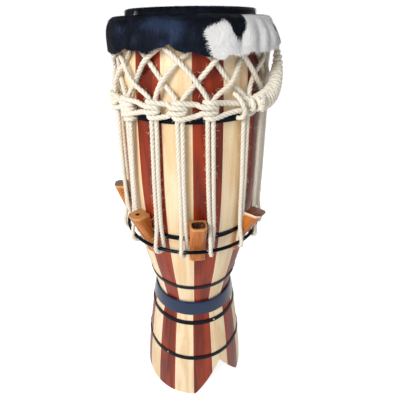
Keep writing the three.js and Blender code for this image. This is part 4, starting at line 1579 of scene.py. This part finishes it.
def inside_by(outline, azimuth, height):
    """Distance in millimetres into the outline, negative outside it."""
    x, y = between(azimuth, 60) * scale_round, height
    px = np.array([float(between(a, 60)) * scale_round for a, _ in outline])
    py = np.array([z for _, z in outline], float)
    nearest, inside = np.full(x.shape, 1e9), np.zeros(x.shape, bool)
    for ax, ay, bx, by in zip(px, py, np.roll(px, -1), np.roll(py, -1)):
        t = np.clip(((x - ax) * (bx - ax) + (y - ay) * (by - ay)) / ((bx - ax) ** 2 + (by - ay) ** 2), 0, 1)
        nearest = np.minimum(nearest, np.hypot(x - ax - t * (bx - ax), y - ay - t * (by - ay)))
        crosses = ((ay > y) != (by > y)) & (x < (bx - ax) * (y - ay) / (by - ay + 1e-12) + ax)
        inside ^= crosses
    return np.where(inside, nearest, -nearest)


def laid_out_height():
    """Height down the skirt, and above the fold the way along the hide, so that patches can climb over it."""
    radius = np.array([r for r, _ in outer_rows])
    height = np.array([z for _, z in outer_rows])
    step = np.hypot(np.diff(radius, axis=0), np.diff(height, axis=0))
    back_up = np.concatenate([np.cumsum(step[::-1], axis=0)[::-1], np.zeros((1, columns))])
    first_skirt = len(head_rows) + len(rim_rows)
    return np.where(np.arange(rows)[:, None] < first_skirt,
                    back_up - back_up[first_skirt] + height[first_skirt], height)


upward = laid_out_height()
grid_azimuth = np.repeat(azimuths[None, :], rows, 0)
# The rim spot is a painted highlight, laid in as white like the patches
white = np.maximum.reduce([
    inside_by(patch, grid_azimuth, upward) for patch in (white_patch, back_patch, rim_highlight_spot)])
white = np.minimum(white, -inside_by(dark_spot, grid_azimuth, upward))
print("white from", round(float(white.min())), "to", round(float(white.max())), "mm inside")

# %% [markdown]
# Hair on a hide turns in slow swirls, and at the left border of the white patch it is brushed over
# the black. The lie is written on both faces of the hide, but hair grows on the outer one only, and
# thins out at the cut edge.

# %% Lie of the coat
def both_faces(grid, centre):
    return np.concatenate([grid.reshape(rows * columns, -1), grid[::-1].reshape(rows * columns, -1),
                           np.array([centre, centre], float).reshape(2, -1)])


write_attribute(hide, "white", both_faces(np.clip(white, -60, 60), -60))
is_outer = np.zeros(len(hide.data.vertices))
is_outer[: rows * columns] = 1
is_outer[(rows - 3) * columns: rows * columns] = 0.4
is_outer[top_centre] = 1
write_attribute(hide, "hairy", is_outer)
swirl = (26 * np.sin(np.radians(grid_azimuth * 3 + upward * 1.2))
         + 18 * np.sin(np.radians(grid_azimuth * 7 + 40)))
brushed_aside = np.exp(-((between(grid_azimuth, 11) / 7) ** 2))
swirl = np.radians(swirl * (1 - brushed_aside) - 85 * brushed_aside)
aside = np.cross(hide_normal, hide_down)
lie = hide_down * np.cos(swirl)[:, :, None] + aside * np.sin(swirl)[:, :, None]
write_attribute(hide, "lie", both_faces(lie, (0, -1, 0)), "FLOAT_VECTOR")
# Where a navy sheen is painted on the black coat, a painted highlight: azimuth, height, half width
# in degrees and in millimetres, strength
painted_sheen_places = [
    (-19, 982, 9, 11, 0.95), (-8, 972, 5, 18, 0.8), (-34, 958, 6, 12, 0.7), (-30, 985, 6, 7, 0.5),
    (-48, 975, 5, 12, 0.4), (-14, 955, 5, 8, 0.35), (60, 1008, 50, 9, 0.5), (-12, 1008, 30, 9, 0.6),
    (120, 975, 14, 12, 0.7), (165, 965, 10, 14, 0.6), (240, 970, 12, 14, 0.7), (285, 965, 9, 12, 0.6)]
# Painted sheen: a navy highlight is laid at each of these places and written on the hide as a mark
painted_sheen = sum(strength * np.exp(-((between(grid_azimuth, at) / wide) ** 2) - ((upward - height) / tall) ** 2)
             for at, height, wide, tall, strength in painted_sheen_places)
write_attribute(hide, "painted_sheen", both_faces(painted_sheen, 0.3))
print("white share of the skirt:", round(float((white[-skirt_rows:] > 0).mean()), 2))

# %% [markdown]
# The coat is near black, with a cold blue sheen that is painted into its colour as navy highlight
# patches, and white over the right flank. Short hair lies flat and mostly down, so skin and hair
# share one material: its colour comes from how far a point is inside the white patch, and fine
# streaks run along the lie of the hair.

# %% Fur material
def fur_material(name):
    material, tree, shader = start_material(name)
    place = object_place(tree)
    ragged = noise(tree, place, (420, 420, 90), 3.0, 0.6)
    strands = noise(tree, place, (1500, 1500, 110), 3.0, 0.65)
    tufts = noise(tree, place, 60.0, 3.0, 0.6)
    sheen_clumps = noise(tree, place, (150, 150, 40), 3.0, 0.6)
    sheen = noise(tree, place, (26, 26, 34), 2.0, 0.5, 0.8)
    mask = map_range(tree, mark(tree, "white") + (ragged - 0.5) * 9.0, -0.8, 0.8)
    # Painted sheen: where the mark and the noise are high, the black turns to a navy highlight
    painted_sheen_share = mark(tree, "painted_sheen") + (sheen - 0.5) * 1.3
    black = blend_colors(tree, map_range(tree, strands, 0.35, 0.8), tint(0, 0, 1), tint(6, 7, 10))
    black = blend_colors(tree, map_range(tree, painted_sheen_share, 0.1, 1.1, 0.0, 0.9), black, tint(56, 72, 104))
    # More painted sheen: clumps of noise tint the black towards navy
    black = blend_colors(tree, map_range(tree, sheen_clumps, 0.5, 0.8, 0.0, 0.35), black, tint(30, 38, 58))
    pale = blend_colors(
        tree, map_range(tree, strands, 0.2, 0.5), tint(232, 231, 231), tint(255, 255, 255))
    pale = blend_colors(tree, map_range(tree, tufts, 0.56, 0.78, 0.0, 0.4), pale, tint(196, 188, 180))
    # At the tips black hair turns navy, a painted sheen; white hair keeps its white
    tips = blend_colors(tree, mask, tint(30, 37, 58), tint(255, 255, 253))
    coat = blend_colors(tree, mask, black, pale)
    fill(tree, shader, {
        "Base Color": blend_colors(tree, mark(tree, "tip") * 0.25, coat, tips),
        "Roughness": map_range(tree, strands, 0.2, 0.8, 0.34, 0.52),
        "Specular IOR Level": 0.34, "Specular Tint": tint(178, 198, 245),
    })
    bump(tree, shader, strands + tufts * 1.5, 0.0009)
    return material


fur = fur_material("cow_hair")
hide.data.materials.append(fur)
print("fur:", fur.name)

# %% [markdown]
# Where the skirt curls up at its cut edge, the bare flesh side shows. It is pale, dry and mottled,
# and takes the second material of the same mesh.

# %% Flesh side
def raw_hide(name):
    material, tree, shader = start_material(name)
    mottled = noise(tree, object_place(tree), 90.0, 5.0, 0.6)
    fill(tree, shader, {
        "Base Color": blend_colors(tree, mottled, tint(168, 142, 112), tint(214, 196, 168)),
        "Roughness": 0.7,
    })
    bump(tree, shader, mottled, 0.0008)
    return material


flesh_side = raw_hide("flesh_side")
hide.data.materials.append(flesh_side)
inside_faces = np.zeros(len(hide.data.polygons), int)
for polygon in hide.data.polygons:
    if not all(is_outer[v] for v in polygon.vertices):
        inside_faces[polygon.index] = 1
hide.data.polygons.foreach_set("material_index", inside_faces)
print("flesh side faces:", int(inside_faces.sum()))

# %% [markdown]
# ## The hair
# A real coat is thousands of short, stiff hairs, and its outline is never quite clean. One blade of
# three triangles is enough for a hair that is thinner than a pixel. The tree scatters points over the
# hairy side, turns a blade along the lie of the coat at each, lifts its tip a little, and varies
# length and direction. Every blade takes its colour from the skin that it grows on.

# %% Hair blade
def hair_blade(length, width):
    """A flat blade along +X that narrows to a point and bends down to the skin again."""
    rows = [(0.0, 0.5, 0.0), (0.55, 0.42, 0.06), (1.0, 0.0, 0.02)]
    points = [(x * length, side * w * width, z * length) for x, w, z in rows[:2] for side in (-1, 1)]
    points.append((length, 0, rows[2][2] * length))
    blade = new_piece("hair_blade", points, [(0, 2, 3, 1), (2, 4, 3)])
    write_attribute(blade, "tip", [0.0, 0.0, 0.5, 0.5, 1.0])
    return blade


blade = hair_blade(0.0082, 0.0007)
print("blade corners:", len(blade.data.vertices))

# %% [markdown]
# The tree works like the one for the stray fibres, with one thing more: the hair isn't turned every
# way, it is combed. Its long axis follows the lie that the hide carries, and small random turns
# lift and tousle it.

# %% Hair tree
grow_hair, given, out = start_group(
    "grow_hair", "GeometryNodeTree",
    [("Geometry", "NodeSocketGeometry", None), ("Blade", "NodeSocketObject", None),
     ("Density", "NodeSocketFloat", 250000.0), ("Lift", "NodeSocketFloat", 0.22),
     ("Disorder", "NodeSocketFloat", 0.35), ("Seed", "NodeSocketInt", 5),
     ("Material", "NodeSocketMaterial", None)],
    [("Geometry", "NodeSocketGeometry")],
)
hairy = calculate(grow_hair, "GREATER_THAN", stored(grow_hair, "hairy"), 0.5)
scattered = add_node(grow_hair, "GeometryNodeDistributePointsOnFaces", {
    "Mesh": given["Geometry"], "Selection": hairy, "Density": given["Density"], "Seed": given["Seed"]})
combed = read(
    grow_hair, "FunctionNodeAxesToRotation", "Rotation",
    {"Primary Axis": stored(grow_hair, "lie", "FLOAT_VECTOR"),
     "Secondary Axis": Wire(grow_hair, scattered.outputs["Normal"])},
    primary_axis="X", secondary_axis="Z")
tousled = turned(
    grow_hair, combed, random_between(grow_hair, -0.25, 0.25, 11),
    random_between(grow_hair, 0.2, 1.0, 12) * (given["Lift"] * -1.0),
    random_between(grow_hair, -1.0, 1.0, 13) * given["Disorder"])
planted = plant(grow_hair, scattered, given["Blade"], tousled, random_between(grow_hair, 0.6, 1.25, 14))
end_tree(grow_hair, out, planted, given["Material"])
print("grow_hair nodes:", len(grow_hair.nodes))

# %% [markdown]
# The hair is a piece of its own over the hide. A real coat has far more hairs than this, but each
# blade here is as wide as several of them, so the skin is covered with fewer triangles.

# %% Hair
hairs_a_square_metre = 430000.0
coat = put("hair_coat", hide.data.copy())
grow(coat, grow_hair, {"Blade": blade, "Density": hairs_a_square_metre, "Lift": 0.1, "Disorder": 0.2,
                       "Seed": 5, "Material": fur})
bpy.data.objects.remove(blade)
print("hairs:", len(coat.data.polygons) // 2, "attributes:", [a.name for a in coat.data.attributes][:12])
done(hide, "cowhide", "cowhide_head")
done(coat, "cowhide", "cowhide_head")
